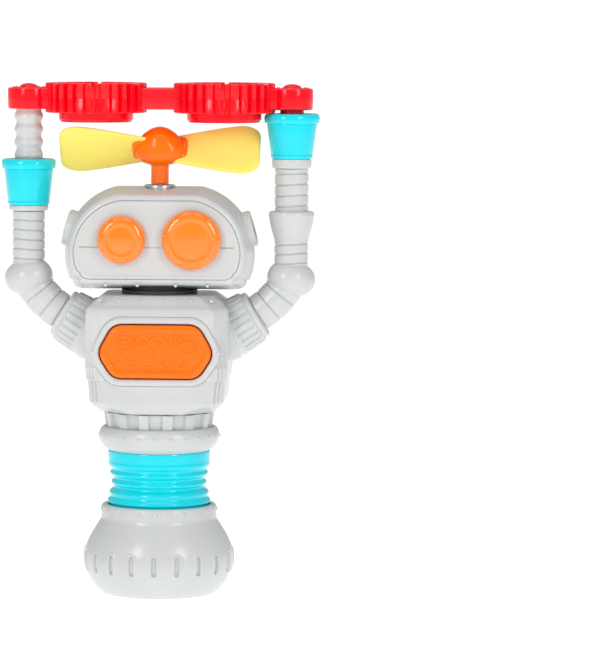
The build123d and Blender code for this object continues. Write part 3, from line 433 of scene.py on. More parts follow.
def buildStudField():
    # Domes on every point of a mesh, each standing along the point's aim.
    tree, start, end = nodeTree("studField", "GeometryNodeTree",
                                [("Geometry", "NodeSocketGeometry", None),
                                 ("Radius", "NodeSocketFloat", 0.001),
                                 ("Height", "NodeSocketFloat", 0.0005),
                                 ("Finish", "NodeSocketMaterial", None)],
                                [("Geometry", "NodeSocketGeometry")])
    dome = tree.nodes.new("GeometryNodeMeshUVSphere")
    dome.inputs["Segments"].default_value = 20
    dome.inputs["Rings"].default_value = 10
    dome.inputs["Radius"].default_value = 1
    size = tree.nodes.new("ShaderNodeCombineXYZ")
    shape = tree.nodes.new("GeometryNodeTransform")
    aim = tree.nodes.new("GeometryNodeInputNamedAttribute")
    aim.data_type = "FLOAT_VECTOR"
    aim.inputs["Name"].default_value = "aim"
    grow = tree.nodes.new("GeometryNodeInputNamedAttribute")
    grow.data_type = "FLOAT"
    grow.inputs["Name"].default_value = "grow"
    turn = tree.nodes.new("FunctionNodeAlignEulerToVector")
    turn.axis = "Z"
    place = tree.nodes.new("GeometryNodeInstanceOnPoints")
    real = tree.nodes.new("GeometryNodeRealizeInstances")
    smooth = tree.nodes.new("GeometryNodeSetShadeSmooth")
    paint = tree.nodes.new("GeometryNodeSetMaterial")
    link = tree.links.new
    link(start.outputs["Radius"], size.inputs["X"])
    link(start.outputs["Radius"], size.inputs["Y"])
    link(start.outputs["Height"], size.inputs["Z"])
    link(dome.outputs["Mesh"], shape.inputs["Geometry"])
    link(size.outputs["Vector"], shape.inputs["Scale"])
    link(start.outputs["Geometry"], place.inputs["Points"])
    link(shape.outputs["Geometry"], place.inputs["Instance"])
    link(aim.outputs["Attribute"], turn.inputs["Vector"])
    link(turn.outputs["Rotation"], place.inputs["Rotation"])
    link(grow.outputs["Attribute"], place.inputs["Scale"])
    link(place.outputs["Instances"], real.inputs["Geometry"])
    link(real.outputs["Geometry"], smooth.inputs["Geometry"])
    link(smooth.outputs["Geometry"], paint.inputs["Geometry"])
    link(start.outputs["Finish"], paint.inputs["Material"])
    link(paint.outputs["Geometry"], end.inputs["Geometry"])
    return tree


studField = buildStudField()


def studs(name, kind, body, spots, radius, height):
    # spots are (place, aim, scale); the domes stand half out of the surface.
    mesh = bpy.data.meshes.new(name)
    mesh.from_pydata([tuple(c * mm for c in place) for place, aim, scale in spots], [], [])
    aims = mesh.attributes.new("aim", "FLOAT_VECTOR", "POINT")
    aims.data.foreach_set("vector", [c for place, aim, scale in spots for c in Vector(aim).normalized()])
    grow = mesh.attributes.new("grow", "FLOAT", "POINT")
    grow.data.foreach_set("value", [float(scale) for place, aim, scale in spots])
    field = bpy.data.objects.new(name, mesh)
    bpy.context.scene.collection.objects.link(field)
    step = field.modifiers.new("studs", "NODES")
    step.node_group = studField
    socket = {item.name: item.identifier for item in studField.interface.items_tree if item.in_out == "INPUT"}
    step[socket["Radius"]] = radius * mm
    step[socket["Height"]] = height * mm
    step[socket["Finish"]] = finish[kind]
    bpy.context.view_layer.update()
    made = bpy.data.meshes.new_from_object(field.evaluated_get(bpy.context.evaluated_depsgraph_get()))
    bpy.data.objects.remove(field)
    piece = bpy.data.objects.new(name, made)
    bpy.context.scene.collection.objects.link(piece)
    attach(piece, body)
    return piece


def ringSpots(count, radius, height, slope=0.0, turn=0.0):
    spots = []
    for i in range(count):
        a = -math.pi / 2 + turn + tau * i / count
        spots.append(((radius * math.cos(a), radius * math.sin(a), height),
                      (math.cos(a), math.sin(a), slope), 1))
    return spots


base = {"slots": 20, "slotWide": 2.4, "slotTall": 9.5, "slotZ": 16.3, "slotDeep": 1.1, "rim": 0.32,
        "neck": 27.5, "shoulderZ": 34.8, "wall": 2.4, "lip": 2.3, "rivets": 24}


def baseSkin(radius, height, angle):
    if radius < base["neck"] - 0.2 or not 8 < height < 26:
        return radius
    period = tau / base["slots"]
    off = ((angle + math.pi / 2 + period / 2) % period - period / 2) * radius
    run = max(0.0, abs(height - base["slotZ"]) - (base["slotTall"] - base["slotWide"]) / 2)
    edge = math.hypot(off, run) - base["slotWide"] / 2
    dip = base["slotDeep"] * (1 - smoothStep(-0.55, 0.05, edge))
    lift = base["rim"] * max(0.0, 1 - ((edge - 0.65) / 0.65) ** 2)
    return radius - dip + lift


def makeBase():
    r = baseHigh.x
    outer = through([(27.5, 0.8), (29.4, 2.2), (32.4, 6.2), (r - 1.0, 11.2), (r, base["slotZ"]),
                     (r - 0.7, 21.6), (r - 2.7, 26.4), (r - 5.4, 31.0), (base["neck"] + 0.35, 35.2)], 6)
    fine = []
    for a, b in zip(outer, outer[1:]):                 # close rows where the slots are
        steps = max(1, round(abs(b[1] - a[1]) / 0.3)) if 9 < b[1] < 24 else 1
        fine += [(mix(a[0], b[0], i / steps), mix(a[1], b[1], i / steps)) for i in range(steps)]
    top = baseHigh.z
    neck = [(base["neck"] + 0.08, 36.4), (base["neck"], 37.8), (base["neck"], top - 1.4),
            (base["neck"] - 0.2, top - 0.7), (base["neck"] - 0.7, top - 0.2), (base["neck"] - 1.4, top)]
    inner = [(24.9, top), (24.55, top - 0.4), (24.45, top - 1.2), (25.2, 39.6), (25.2, 39), (17, 39),
             (17, 36.4), (base["neck"] - 2.4, 36.4),
             (base["neck"] - 1.6, 33), (r - 5, 27), (r - 2.6, 16), (r - 5, 7), (26, 4), (24.6, 3.6),
             (24.6, 0),
             (26.6, 0), (27.1, 0.25)]
    offsets = [0.35 * i for i in range(11)]
    angles = ringAngles(base["slots"], offsets, 9)
    piece = turned("baseShell", fine + [outer[-1]] + neck + inner, angles=angles, shape=baseSkin)
    fit(piece, "grey", "robot", "base_shell")
    studs("baseRivets", "grey", "robot", ringSpots(base["rivets"], base["neck"] - 0.05, 40.2), 1.0, 0.62)


def makeGrip():
    low = sleeveLow.z
    high = sleeveHigh.z
    inner = 20.15
    outline = []
    for z in spread(low + 0.4, high - 0.1, 0.3):
        rise = z - low
        body = mix(24.1, 22.2, smoothStep(4.5, 10.5, rise)) + 2.3 * smoothStep(11, 26, rise)
        wave = 0.62 * math.cos(tau * (rise - 3.1) / 4.4) * smoothStep(24, 17, rise) * smoothStep(-1,
                2.5, rise)
        upper = 0.3 * math.exp(-((rise - 21.4) / 1.4) ** 2)
        outline.append((body + wave + upper, z))
    profile = [(inner, low), (23.4, low)] + outline + [(24.3, high), (inner, high)]
    fit(turned("gripSleeve", profile, 128), "cyan", "robot", "grip_sleeve")


def makeCollar():
    low = collarLow.z
    high = collarHigh.z
    r = collarHigh.x
    belly = through([(r - 4.2, low + 0.25), (r - 2.3, low + 1.7), (r - 0.7, low + 4.3), (r, low + 7.2),
                     (r - 0.35, low + 9.3), (r - 1.3, high - 0.75), (r - 2.3, high - 0.15),
                     (r - 2.9, high - 0.3),
                     (r - 3.35, high - 1.6)], 6)
    profile = [(20.15, low), (r - 4.7, low)] + belly + [(20.15, high - 1.8)]
    fit(turned("collarRing", profile, 128), "grey", "robot", "collar_ring")
    studs("collarRivets", "grey", "robot", ringSpots(24, r - 0.1, low + 7.2, 0.05), 1.0, 0.62)


column = {"flutes": 14, "wide": 7.2, "deep": 1.5}


def columnSkin(radius, height, angle):
    if radius < 24:
        return radius
    period = tau / column["flutes"]
    off = abs((angle + math.pi / 2 + period / 2) % period - period / 2) * radius
    across = 1 - smoothStep(column["wide"] / 2 - 0.9, column["wide"] / 2, off)
    along = smoothStep(columnLow.z - 1.5, columnLow.z - 0.9, height)
    return radius - column["deep"] * across * along


def makeColumn():
    low = columnLow.z - 1.7
    top = torsoZ
    outline = [(mix(25.2, 26.5, (z - low) / (top - low)), z) for z in spread(low + 0.3, top - 0.2, 0.45)]
    profile = [(20.15, low), (24.9, low)] + outline + [(23.0, top), (23.0, columnHigh.z),
                                                       (20.15, columnHigh.z)]
    angles = ringAngles(column["flutes"], [0.6 * i for i in range(14)], 5)
    fit(turned("waistColumn", profile, angles=angles, shape=columnSkin), "grey", "robot", "waist_column")


makeBase()
makeGrip()
makeCollar()
makeColumn()
print("base, grip, collar and column made")


torso = {"corner": 6.9, "rear": 2.6, "wall": 2.0, "boss": 15.0, "bossTilt": 17.0, "yoke": 9.6,
         "shoulder": 39.4,
         "halfWidth": 33.8, "footWidth": 31.6, "crownWidth": 27.0, "crownDepth": 21.0, "waist": 27.0}


def softCorner(before, here, after, reach, steps=4):
    here = Vector(here)
    start = here + (Vector(before) - here).normalized() * reach
    end = here + (Vector(after) - here).normalized() * reach
    out = []
    for i in range(steps + 1):
        t = i / steps
        p = start * (1 - t) ** 2 + here * 2 * t * (1 - t) + end * t * t
        out.append((p.x, p.y))
    return out


def torsoLoop(w, d, corner, rear, z, pleat=0.0, inset=0.0):
    # Plan outline at one height; pleat raises vertical folds on the front facets.
    w -= inset
    d -= inset
    a = (w - corner, -d)
    b = (w, corner - d)
    c = (w, d - rear)
    e = (w - rear, d)
    right = [(0.0, -d)] + softCorner((0, -d), a, b, 0.7)
    for i in range(1, 32):
        t = mix(0.13, 0.87, i / 32)
        lift = pleat * (abs(math.sin(3 * math.pi * (t - 0.13) / 0.74)) ** 0.5 * 1.0 - 0.15)
        right.append((mix(a[0], b[0], t) + lift * 0.71, mix(a[1], b[1], t) - lift * 0.71))
    right += softCorner(a, b, c, 0.7) + softCorner(b, c, e, 0.7) + softCorner(c, e, (0, d), 0.7)
    left = [(-x, y) for x, y in reversed(right[1:])]
    return [(x, y, z) for x, y in right + [(0.0, d)] + left]


def torsoLevels(inset):
    t = torso
    d = backY
    top = torsoTopZ - inset
    foot = t["waist"] * 0.55
    rows = [(torsoZ + inset, t["waist"] - 0.8, t["waist"] - 0.8, foot, foot, 0),
            (torsoZ + 0.5 + inset, t["waist"] + 0.4, t["waist"] + 0.4, foot, foot, 0),
            (torsoZ + 4.6 + inset * 0.3, t["footWidth"] - 0.8, d - 0.6, t["corner"], t["rear"], 0.55),
            (torsoZ + 5.6 + inset * 0.2, t["footWidth"], d, t["corner"], t["rear"], 0.9)]
    step = torsoZ + 15.6
    rows += [(step, mix(t["footWidth"], t["halfWidth"], 0.55) - 0.3, d - 0.5, t["corner"], t["rear"], 1),
             (step + 0.5, mix(t["footWidth"], t["halfWidth"], 0.6) + 0.3, d, t["corner"], t["rear"], 1),
             (step + 6.2, t["halfWidth"], d, t["corner"], t["rear"], 0.9),
             (step + 7.4, t["halfWidth"], d, t["corner"], t["rear"], 0)]
    yoke = torsoTopZ - t["yoke"]
    rows += [(yoke, t["halfWidth"], d, t["corner"], t["rear"], 0)]
    for share in (0.25, 0.5, 0.75, 1.0):
        a = share * math.pi / 2
        rows.append((yoke + 4.4 * math.sin(a), t["halfWidth"] - 1.9 * (1 - math.cos(a)),
                     d - 2.4 * (1 - math.cos(a)), t["corner"], t["rear"], 0))
    rows += [(yoke + 5.8, t["halfWidth"] - 2.8, d - 3.6, t["corner"], t["rear"], 0),
             (torsoTopZ - 1.4 - inset, t["crownWidth"] + 0.9, t["crownDepth"] + 0.9, t["corner"],
              t["rear"], 0),
             (torsoTopZ - 0.5 - inset * 1.02, t["crownWidth"] - 0.2, t["crownDepth"] - 0.2, t["corner"],
              t["rear"], 0),
             (top, t["crownWidth"] - 1.2, t["crownDepth"] - 1.2, t["corner"], t["rear"], 0)]
    return [torsoLoop(w, dd, c, r, z, 0 if inset else p, inset) for z, w, dd, c, r, p in rows]


def boxPiece(x0, x1, y0, y1, z0, z1):
    loops = [[(x0, y0, z), (x1, y0, z), (x1, y1, z), (x0, y1, z)] for z in (z0, z1)]
    return stack("cutter", loops)


def rodPiece(radius, start, end, steps=48):
    place = placement(start, Vector(end) - Vector(start), Vector((0, 1, 0.01)))
    length = (Vector(end) - Vector(start)).length
    return turned("cutter", [(radius, 0), (radius, length)], steps, closed=False, place=place)


def copyOf(piece, name):
    twin = piece.copy()
    twin.data = piece.data.copy()
    twin.name = name
    bpy.context.scene.collection.objects.link(twin)
    return twin


def buttonOutline(grow, z0):
    # Six-sided button outline grown evenly, in X and Z.
    half, top, high, low, rnd = 27.5, 20.0, 13.6, 11.6, 8.0
    corners = [(-top, -low), (top, -low), (half, 0), (top, high), (-top, high), (-half, 0)]
    moved = []
    for i, corner in enumerate(corners):
        here = Vector(corner)
        a = (here - Vector(corners[i - 1])).normalized()
        b = (Vector(corners[(i + 1) % 6]) - here).normalized()
        na = Vector((a.y, -a.x))
        nb = Vector((b.y, -b.x))
        mitre = (na + nb).normalized()
        p = here + mitre * grow / mitre.dot(na)
        moved.append((p.x, p.y, max(0.6, rnd + grow)))
    return [(x, z + z0) for x, z in rounded(moved, 8, closed=True)]


buttonZ = (buttonLow.z + buttonHigh.z) / 2 - 1.0
screwPlaces = [(-24.5, torsoZ + 7.4), (24.5, torsoZ + 7.4), (-21, torsoTopZ - 6.8), (21, torsoTopZ - 6.8)]
doorLow, doorHigh = cadBox("battery_door")
trayLow, trayHigh = cadBox("battery_tray")
doorScrewZ = sum(c.z for c in cadBox("door_screw")) / 2
shoulderAt = Vector((torsoHigh.x - torso["boss"] * math.sin(math.radians(torso["bossTilt"])), 0,
                     torsoZ + torso["shoulder"]))


def tilted(degrees, side=1):
    a = math.radians(degrees)
    return Vector((side * math.cos(a), 0, math.sin(a)))


def doorOutline(grow):
    w = doorHigh.x + grow
    low = doorLow.z - grow
    shelf = trayHigh.z + 1.2 + grow
    tab = 6 + grow
    corners = [(-w, low, 2), (w, low, 2), (w, shelf, 2), (tab, shelf, 1.5), (tab, doorHigh.z + grow, 2.5),
               (-tab, doorHigh.z + grow, 2.5), (-tab, shelf, 1.5), (-w, shelf, 2)]
    return rounded(corners, 5, closed=True)


def makeTorso():
    whole = stack("torso", torsoLevels(0))
    # the button window is cut while the skin is whole, so that the cut goes right through
    cut(whole, stack("cutter", torsoLevels(torso["wall"])),
        slab("cutter", lambda g: buttonOutline(3.9 + g, buttonZ), -40, -18))
    cut(whole, rodPiece(23.3, (0, 0, torsoZ - 2), (0, 0, torsoZ + 4)),
        rodPiece(15.2, (0, 0, torsoTopZ - 4), (0, 0, torsoTopZ + 3)))
    front = copyOf(whole, "torsoFront")
    cut(front, boxPiece(-60, 60, -0.09, 60, torsoZ - 5, torsoTopZ + 5))
    whole.name = "torsoRear"
    cut(whole, boxPiece(-60, 60, -60, 0.09, torsoZ - 5, torsoTopZ + 5),
        boxPiece(trayLow.x + 1.5, trayHigh.x - 1.5, backY - 4, backY + 4, trayLow.z + 1.5,
                 trayHigh.z - 1.5),
        slab("cutter", lambda g: doorOutline(0.25 + g), backY - 1.2, backY + 6))
    for x, z in screwPlaces:
        cut(whole, rodPiece(2.65, (x, backY - 9, z), (x, backY + 9, z), 32))
    fit(front, "grey", "robot", "torso_front_shell")
    fit(whole, "grey", "robot", "torso_rear_shell")
    for label, side in sides:
        out = tilted(torso["bossTilt"], side)
        at = Vector((side * shoulderAt.x, 0, shoulderAt.z))
        r = torso["boss"]
        profile = [(r - 0.2, -11), (r, -4), (r, -0.9), (r - 0.25, -0.25), (r - 0.9, 0), (r - 6, 0)]
        boss = turned(label + "Boss", [(r - 3, -11)] + profile + [(r - 6, -11)], 72,
                      place=placement(at, out))
        fit(boss, "grey", "robot")
    z = torsoTopZ - 2.1
    spots = [((x, -22.7, z), (0, -0.75, 0.65), 1.05) for x in (-26.5, -17.0, -5.8, 5.0, 16.2, 26.0)]
    spots += [((side * 34.6, -7, torsoTopZ - 9.4), (side, -0.25, 0.3), 1) for side in (-1, 1)]
    studs("torsoRivets", "grey", "robot", spots, 0.95, 0.6)


def makeBezel():
    front = bezelLow.y
    back = bezelHigh.y
    path = [(0.5, back), (0.5, front + 1.3), (0.62, front + 0.75), (0.95, front + 0.3), (1.4, front + 0.08),
            (2.0, front), (2.5, front + 0.06), (3.0, front + 0.3), (3.45, front + 0.75),
            (3.75, front + 1.3),
            (3.85, front + 2.2), (3.85, back)]
    loops = [[(x, y, z) for x, z in buttonOutline(grow, buttonZ)] for grow, y in path]
    fit(stack("buttonBezel", loops, closed=True), "grey", "robot", "button_bezel")
    spots = []
    for x, rise in ((18.5, 15.8), (29.6, 0.4), (18.5, -13.4)):
        spots += [((side * x, front + 0.15, buttonZ + rise), (0, -1, 0), 1) for side in (-1, 1)]
    studs("bezelRivets", "grey", "robot", spots, 0.85, 0.5)


def makeButton():
    front = buttonLow.y
    back = buttonHigh.y
    path = [(0, -22.6), (0, front + 2.2), (-0.12, front + 1.4), (-0.45, front + 0.7), (-1.0, front + 0.22),
            (-1.7, front + 0.02), (-2.4, front), (-2.9, front + 0.22), (-3.3, front + 0.62),
            (-3.8, front + 0.72),
            (-6.0, front + 0.6), (-8.6, front + 0.45), (-10.4, front + 0.38)]
    loops = [[(x, y, z) for x, z in buttonOutline(grow, buttonZ)] for grow, y in path]
    piece = stack("chestButton", loops)
    fit(piece, "orange", "button", "chest_button")
    stem = turned("buttonStem", [(2.4, -0.2), (2.4, back + 22.3), (2.1, back + 22.6)], 32, closed=False,
                  place=placement((0, -22.6, buttonZ), (0, 1, 0), Vector((0, 0, 1))))
    fit(stem, "orange", "button")
    bubbles = [(-14.2, 3.6, 3.5), (-6.0, 4.6, 2.6), (1.2, 2.9, 3.9), (10.0, 4.8, 2.5), (15.6, 1.6, 3.0),
               (-10.6, -5.0, 2.4), (-3.2, -4.6, 3.1), (5.4, -5.2, 2.5), (12.2, -5.8, 1.8),
               (-16.8, -3.6, 1.7)]
    rings = []
    for x, rise, r in bubbles:
        band = [(r - 0.75, -0.3), (r - 0.6, 0.25), (r - 0.25, 0.55), (r + 0.25, 0.55), (r + 0.6, 0.25),
                (r + 0.75, -0.3), (r, -0.6)]
        place = placement((x, front + 0.52, buttonZ + 1 + rise), (0, -1, 0), Vector((0, 0, 1)))
        rings.append(turned("bubble", band, 40, place=place))
    for ring in rings:
        fit(ring, "orange", "button")
    spots = [((x - r * 0.3, front + 0.55, buttonZ + 1 + rise + r * 0.3), (0, -1, 0), r / 3) for x, rise,
             r in bubbles]
    studs("bubbleGlints", "orange", "button", spots, 0.75, 0.4)


def makeDoor():
    back = doorHigh.y
    path = [(0, doorLow.y), (0, back - 0.55), (-0.15, back - 0.2), (-0.5, back), (-1.0, back),
            (-1.25, back - 0.12),
            (-1.5, back)]
    loops = [[(x, y, z) for x, z in doorOutline(grow)] for grow, y in path]
    piece = stack("batteryDoor", loops, flat=True)
    cut(piece, rodPiece(2.65, (0, back - 1.2, doorScrewZ), (0, back + 4, doorScrewZ), 32),
        rodPiece(1.35, (0, back - 6, doorScrewZ), (0, back + 4, doorScrewZ), 32))
    fit(piece, "grey", "door", "battery_door")
    low = doorLow.z
    for i in range(6):                                 # finger ribs by the lower edge
        z = low + 3.2 + i * 1.9
        w = 12 - i * 0.9
        rib = slab("doorRib", lambda g: rounded([(-w - g, z - 0.5 - g, 0.5), (w + g, z - 0.5 - g, 0.5),
                                                 (w + g, z + 0.5 + g, 0.5), (-w - g, z + 0.5 + g, 0.5)],
                                                4, closed=True), -(back + 0.45), -(back - 0.3), 0.3)
        for v in rib.data.vertices:
            v.co.y = -v.co.y
        rib.data.flip_normals()
        fit(rib, "grey", "door")


makeTorso()
makeBezel()
makeButton()
makeDoor()
print("torso, bezel, button and door made")


head = {"crown": 20.0, "draft": 9.0, "round": 3.4, "jawRound": 5.5, "wall": 2.0, "hole": 6.5, "neck": 15.2,
        "earRadius": 8.7, "earTilt": 15.0, "earZ": 28.9, "earIn": 1.9}


def threePoint(a, b, c, steps):
    # Arc from a through b to c.
    ax, ay = a
    bx, by = b
    cx, cy = c
    d = 2 * (ax * (by - cy) + bx * (cy - ay) + cx * (ay - by))
    aa = ax * ax + ay * ay
    bb = bx * bx + by * by
    cc = cx * cx + cy * cy
    ux = (aa * (by - cy) + bb * (cy - ay) + cc * (ay - by)) / d
    uy = (aa * (cx - bx) + bb * (ax - cx) + cc * (bx - ax)) / d
    r = math.hypot(ax - ux, ay - uy)
    start = math.atan2(ay - uy, ax - ux)
    stop = math.atan2(cy - uy, cx - ux)
    sweep = (stop - start + math.pi) % tau - math.pi
    return [(ux + r * math.cos(start + sweep * i / steps), uy + r * math.sin(start + sweep * i / steps))
            for i in range(steps + 1)]


def evenly(points, count):
    # Closed outline resampled to count points of even spacing.
    run = [0.0]
    ring = points + [points[0]]
    for a, b in zip(ring, ring[1:]):
        run.append(run[-1] + math.dist(a, b))
    out = []
    j = 0
    for i in range(count):
        want = run[-1] * i / count
        while run[j + 1] < want:
            j += 1
        t = (want - run[j]) / max(1e-9, run[j + 1] - run[j])
        out.append((mix(ring[j][0], ring[j + 1][0], t), mix(ring[j][1], ring[j + 1][1], t)))
    return out


def drawnIn(points, amount):
    # Head outline drawn in towards its middle by about amount all round.
    middle = (headTopZ - headZ) / 2
    across = 1 - amount / headHigh.x
    up = 1 - amount / middle
    return [(x * across, middle + (z - middle) * up) for x, z in points]


def headOutline():
    # Front view of the head, (x, height above its foot), anticlockwise from the foot's middle.
    tall = headTopZ - headZ
    wide = headHigh.x
    jaw = 40.3
    temple = (wide - 1.2, tall * 0.51)
    lower = threePoint((jaw, 0), (wide, tall * 0.3), temple, 24)
    upper = threePoint(temple, (wide * 0.8, tall * 0.815), (head["crown"], tall), 34)
    corner = [(p.x, p.y) for p in (Vector((33.5, 0)), Vector((38.2, 0.35)), Vector((40.8, 1.9)),
                                   Vector((41.9, 4.6)))]
    side = through([(0, 0), (16, 0), corner[0], corner[1], corner[2],
                    corner[3]] + lower[5:-1:3] + [temple], 5)
    right = side + upper[1:]
    left = [(-x, y) for x, y in reversed(right[1:])]
    return evenly(right + [(0, tall)] + left, 260)


headLine = headOutline()


def headLoops(inset, side):
    depth = 22.5 - inset
    slope = math.tan(math.radians(head["draft"]))
    rnd = head["round"] if not inset else 2.0
    rows = [(0.0, 0.35 if not inset else 0.0)]
    if not inset:
        rows += [(0.35, 0.02)]
    rows += [(y, slope * y) for y in (4, 9, 14, depth - rnd)]
    last = slope * (depth - rnd)
    for i in range(1, 9):
        a = math.pi / 2 * i / 8
        rows.append((depth - rnd + rnd * math.sin(a), last + rnd * (1 - math.cos(a))))
    rows += [(depth, last + rnd + 4), (depth, last + rnd + 10)]
    return [[(x, side * y, headZ + z) for x, z in drawnIn(headLine, inset + amount)] for y, amount in rows]


def earPlace(side):
    at = (side * (headHigh.x - head["earIn"]), 0, headZ + head["earZ"])
    return at, tilted(head["earTilt"], side)


def makeHead():
    for label, way in (("Front", -1), ("Rear", 1)):
        loops = list(reversed(headLoops(head["wall"], way))) + headLoops(0, way)
        shell = stack("head" + label, loops)
        tools = [rodPiece(head["hole"], (0, 0, headTopZ - 5), (0, 0, headTopZ + 3)),
                 rodPiece(head["neck"], (0, 0, headZ - 2), (0, 0, headZ + 7))]
        for name, side in sides:
            at, out = earPlace(side)
            at = Vector(at)
            tools.append(rodPiece(head["earRadius"] + 0.15, at - out * 4.2, at + out * 12))
        if way > 0:
            for x, z in ((-33, 13), (33, 13), (-29, 37), (29, 37)):
                tools.append(rodPiece(2.65, (x, 13.5, headZ + z), (x, 30, headZ + z), 32))
        else:
            tools.append(slab("cutter", lambda g: faceOutline(0.2 + g), faceLow.y - 4, faceHigh.y + 0.05))
        cut(shell, *tools)
        fit(shell, "grey", "robot", "head_front_shell" if way < 0 else "head_rear_shell")
    rim = [(head["hole"] - 1.1, -2.1), (head["hole"] - 1.1, 0.35), (head["hole"] - 0.8, 0.7),
           (head["hole"], 0.8),
           (head["hole"] + 0.75, 0.55), (head["hole"] + 1.0, 0.02), (head["hole"] + 1.0, -0.3),
           (head["hole"] - 0.1, -0.3), (head["hole"] - 0.1, -2.1)]
    fit(turned("topRing", [(r, z + headTopZ) for r, z in rim], 72), "steel", "robot")


def faceOutline(grow):
    across = (faceHigh.x + grow) / headHigh.x
    low = faceLow.z - grow
    up = (faceHigh.z + grow - low) / (headTopZ - headZ)
    return [(x * across, low + z * up) for x, z in headLine]


eyes = {"spread": 16.5, "rise": 24.7, "left": 11.45, "right": 14.05, "bumps": 9}


def makeFace():
    front = faceLow.y
    back = faceHigh.y
    path = [(0, back), (0, front + 0.75), (-0.15, front + 0.35), (-0.45, front + 0.08), (-0.95, front),
            (-1.6, front + 0.02), (-1.9, front + 0.16), (-2.3, front + 0.16), (-6, front + 0.14),
            (-12, front + 0.12)]
    loops = [[(x, y, z) for x, z in faceOutline(grow)] for grow, y in path]
    plate = stack("facePlate", loops)
    groove = headZ + 21.1
    cut(plate, boxPiece(-36.5, 36.5, front - 2, front + 0.55, groove - 0.35, groove + 0.35),
        *[rodPiece(4.9, (side * eyes["spread"], back + 4, headZ + eyes["rise"]),
                   (side * eyes["spread"], front - 4, headZ + eyes["rise"])) for side in (-1, 1)])
    fit(plate, "grey", "robot", "face_plate")
    spots = [((side * 37.4, front + 0.5, headZ + 5.2), (0, -1, -0.15), 1) for side in (-1, 1)]
    spots += [((side * x, front + 0.9, headZ + 3.1), (0, -1, -0.4), 0.8) for side in (-1,
            1) for x in (9, 24)]
    studs("faceRivets", "grey", "robot", spots, 0.95, 0.6)
    for label, side in sides:
        r = eyes[label]
        low = front + 0.05
        profile = [(4.8, -3.2), (4.8, 0.0), (r - 0.35, 0.0), (r, 0.35), (r + 0.02, 1.5), (r - 0.18, 2.6),
                   (r - 0.75, 3.7), (r - 1.7, 4.6), (r - 2.9, 5.15), (r - 3.9, 5.3), (r - 4.35, 5.12),
                   (r - 4.8, 5.06), (r - 6.5, 5.2), (r * 0.3, 5.42), (0.8, 5.5)]
        eye = turned(label + "Eye", profile, 96, closed=False,
                     place=placement((side * eyes["spread"], low, headZ + eyes["rise"]), (0, -1, 0),
                                     Vector((0, 0, 1))))
        fit(eye, "eye", "robot", label + "_eye")
        spots = []
        for i in range(eyes["bumps"]):
            a = math.pi / 2 + tau * i / eyes["bumps"]
            out = Vector((math.cos(a), 0, math.sin(a)))
            at = Vector((side * eyes["spread"], low - 4.55, headZ + eyes["rise"])) + out * (r - 1.5)
            spots.append((at, out * 0.6 + Vector((0, -0.8, 0)), 1))
        studs(label + "EyeBumps", "eye", "robot", spots, 0.8, 0.45)


def makeEars():
    r = head["earRadius"]
    for label, side in sides:
        at, out = earPlace(side)
        place = placement(at, out)
        ring = [(6.35, -4), (6.35, 0.9), (6.55, 1.35), (7.0, 1.6), (r - 0.9, 1.6), (r - 0.35, 1.35),
                (r, 0.75),
                (r, -4)]
        fit(turned(label + "EarRing", ring, 72, place=place), "grey", "robot", label + "_ear_ring")
        cap = turned(label + "EarCap", [(6.2, -4), (6.2, 0.3), (6.0, 0.65), (5.4, 0.82), (3, 1.0),
                                        (0.7, 1.05)], 72,
                     closed=False, place=place)
        corners = [(-0.9, -4.4), (0.9, -4.4), (0.9, 4.4), (-0.9, 4.4)]
        slit = stack("cutter", [[tuple(place @ Vector((v, u, z))) for u, v in corners] for z in (-0.2, 6)])
        cut(cap, slit)
        fit(cap, "grey", "robot", label + "_ear_cap")


makeHead()
makeFace()
makeEars()
print("head, face, eyes and ears made")


arms = {"tilt": 31.0, "shoulder": 10.8, "root": 13.8, "end": 13.0, "ribs": 22, "flange": 11.85,
        "thick": 2.6,
        "upper": 8.7, "left": 7.55, "right": 7.9}


def shoulderSkin(radius, height, angle):
    if not (0.9 < height < arms["shoulder"] - 0.9) or radius < 12:
        return radius
    period = tau / arms["ribs"]
    off = abs((angle + math.pi / 2 + period / 2) % period - period / 2) * radius
    return radius - 0.75 * (1 - smoothStep(0.25, 0.95, off))


def limb(name, rows, segments=64):
    # rows are (centre, direction, radius).
    loops = []
    for centre, way, radius in rows:
        place = placement(centre, way)
        loops.append([tuple(place @ Vector((radius * math.cos(tau * i / segments),
                                            radius * math.sin(tau * i / segments),
                                            0))) for i in range(segments)])
    return stack(name, loops)


def segmentRadius(radius, run, grooves, bulge=0.14):
    # Bellows-like limb: swollen between grooves and drawn in at each.
    below = max([g for g in grooves if g <= run], default=None)
    above = min([g for g in grooves if g > run], default=None)
    near = min([abs(run - g) for g in grooves], default=9)
    swell = 0.0
    if below is not None and above is not None:
        swell = bulge * math.sin(math.pi * (run - below) / (above - below)) ** 0.7
    return radius + swell - 0.6 * (1 - smoothStep(0.1, 0.5, near))


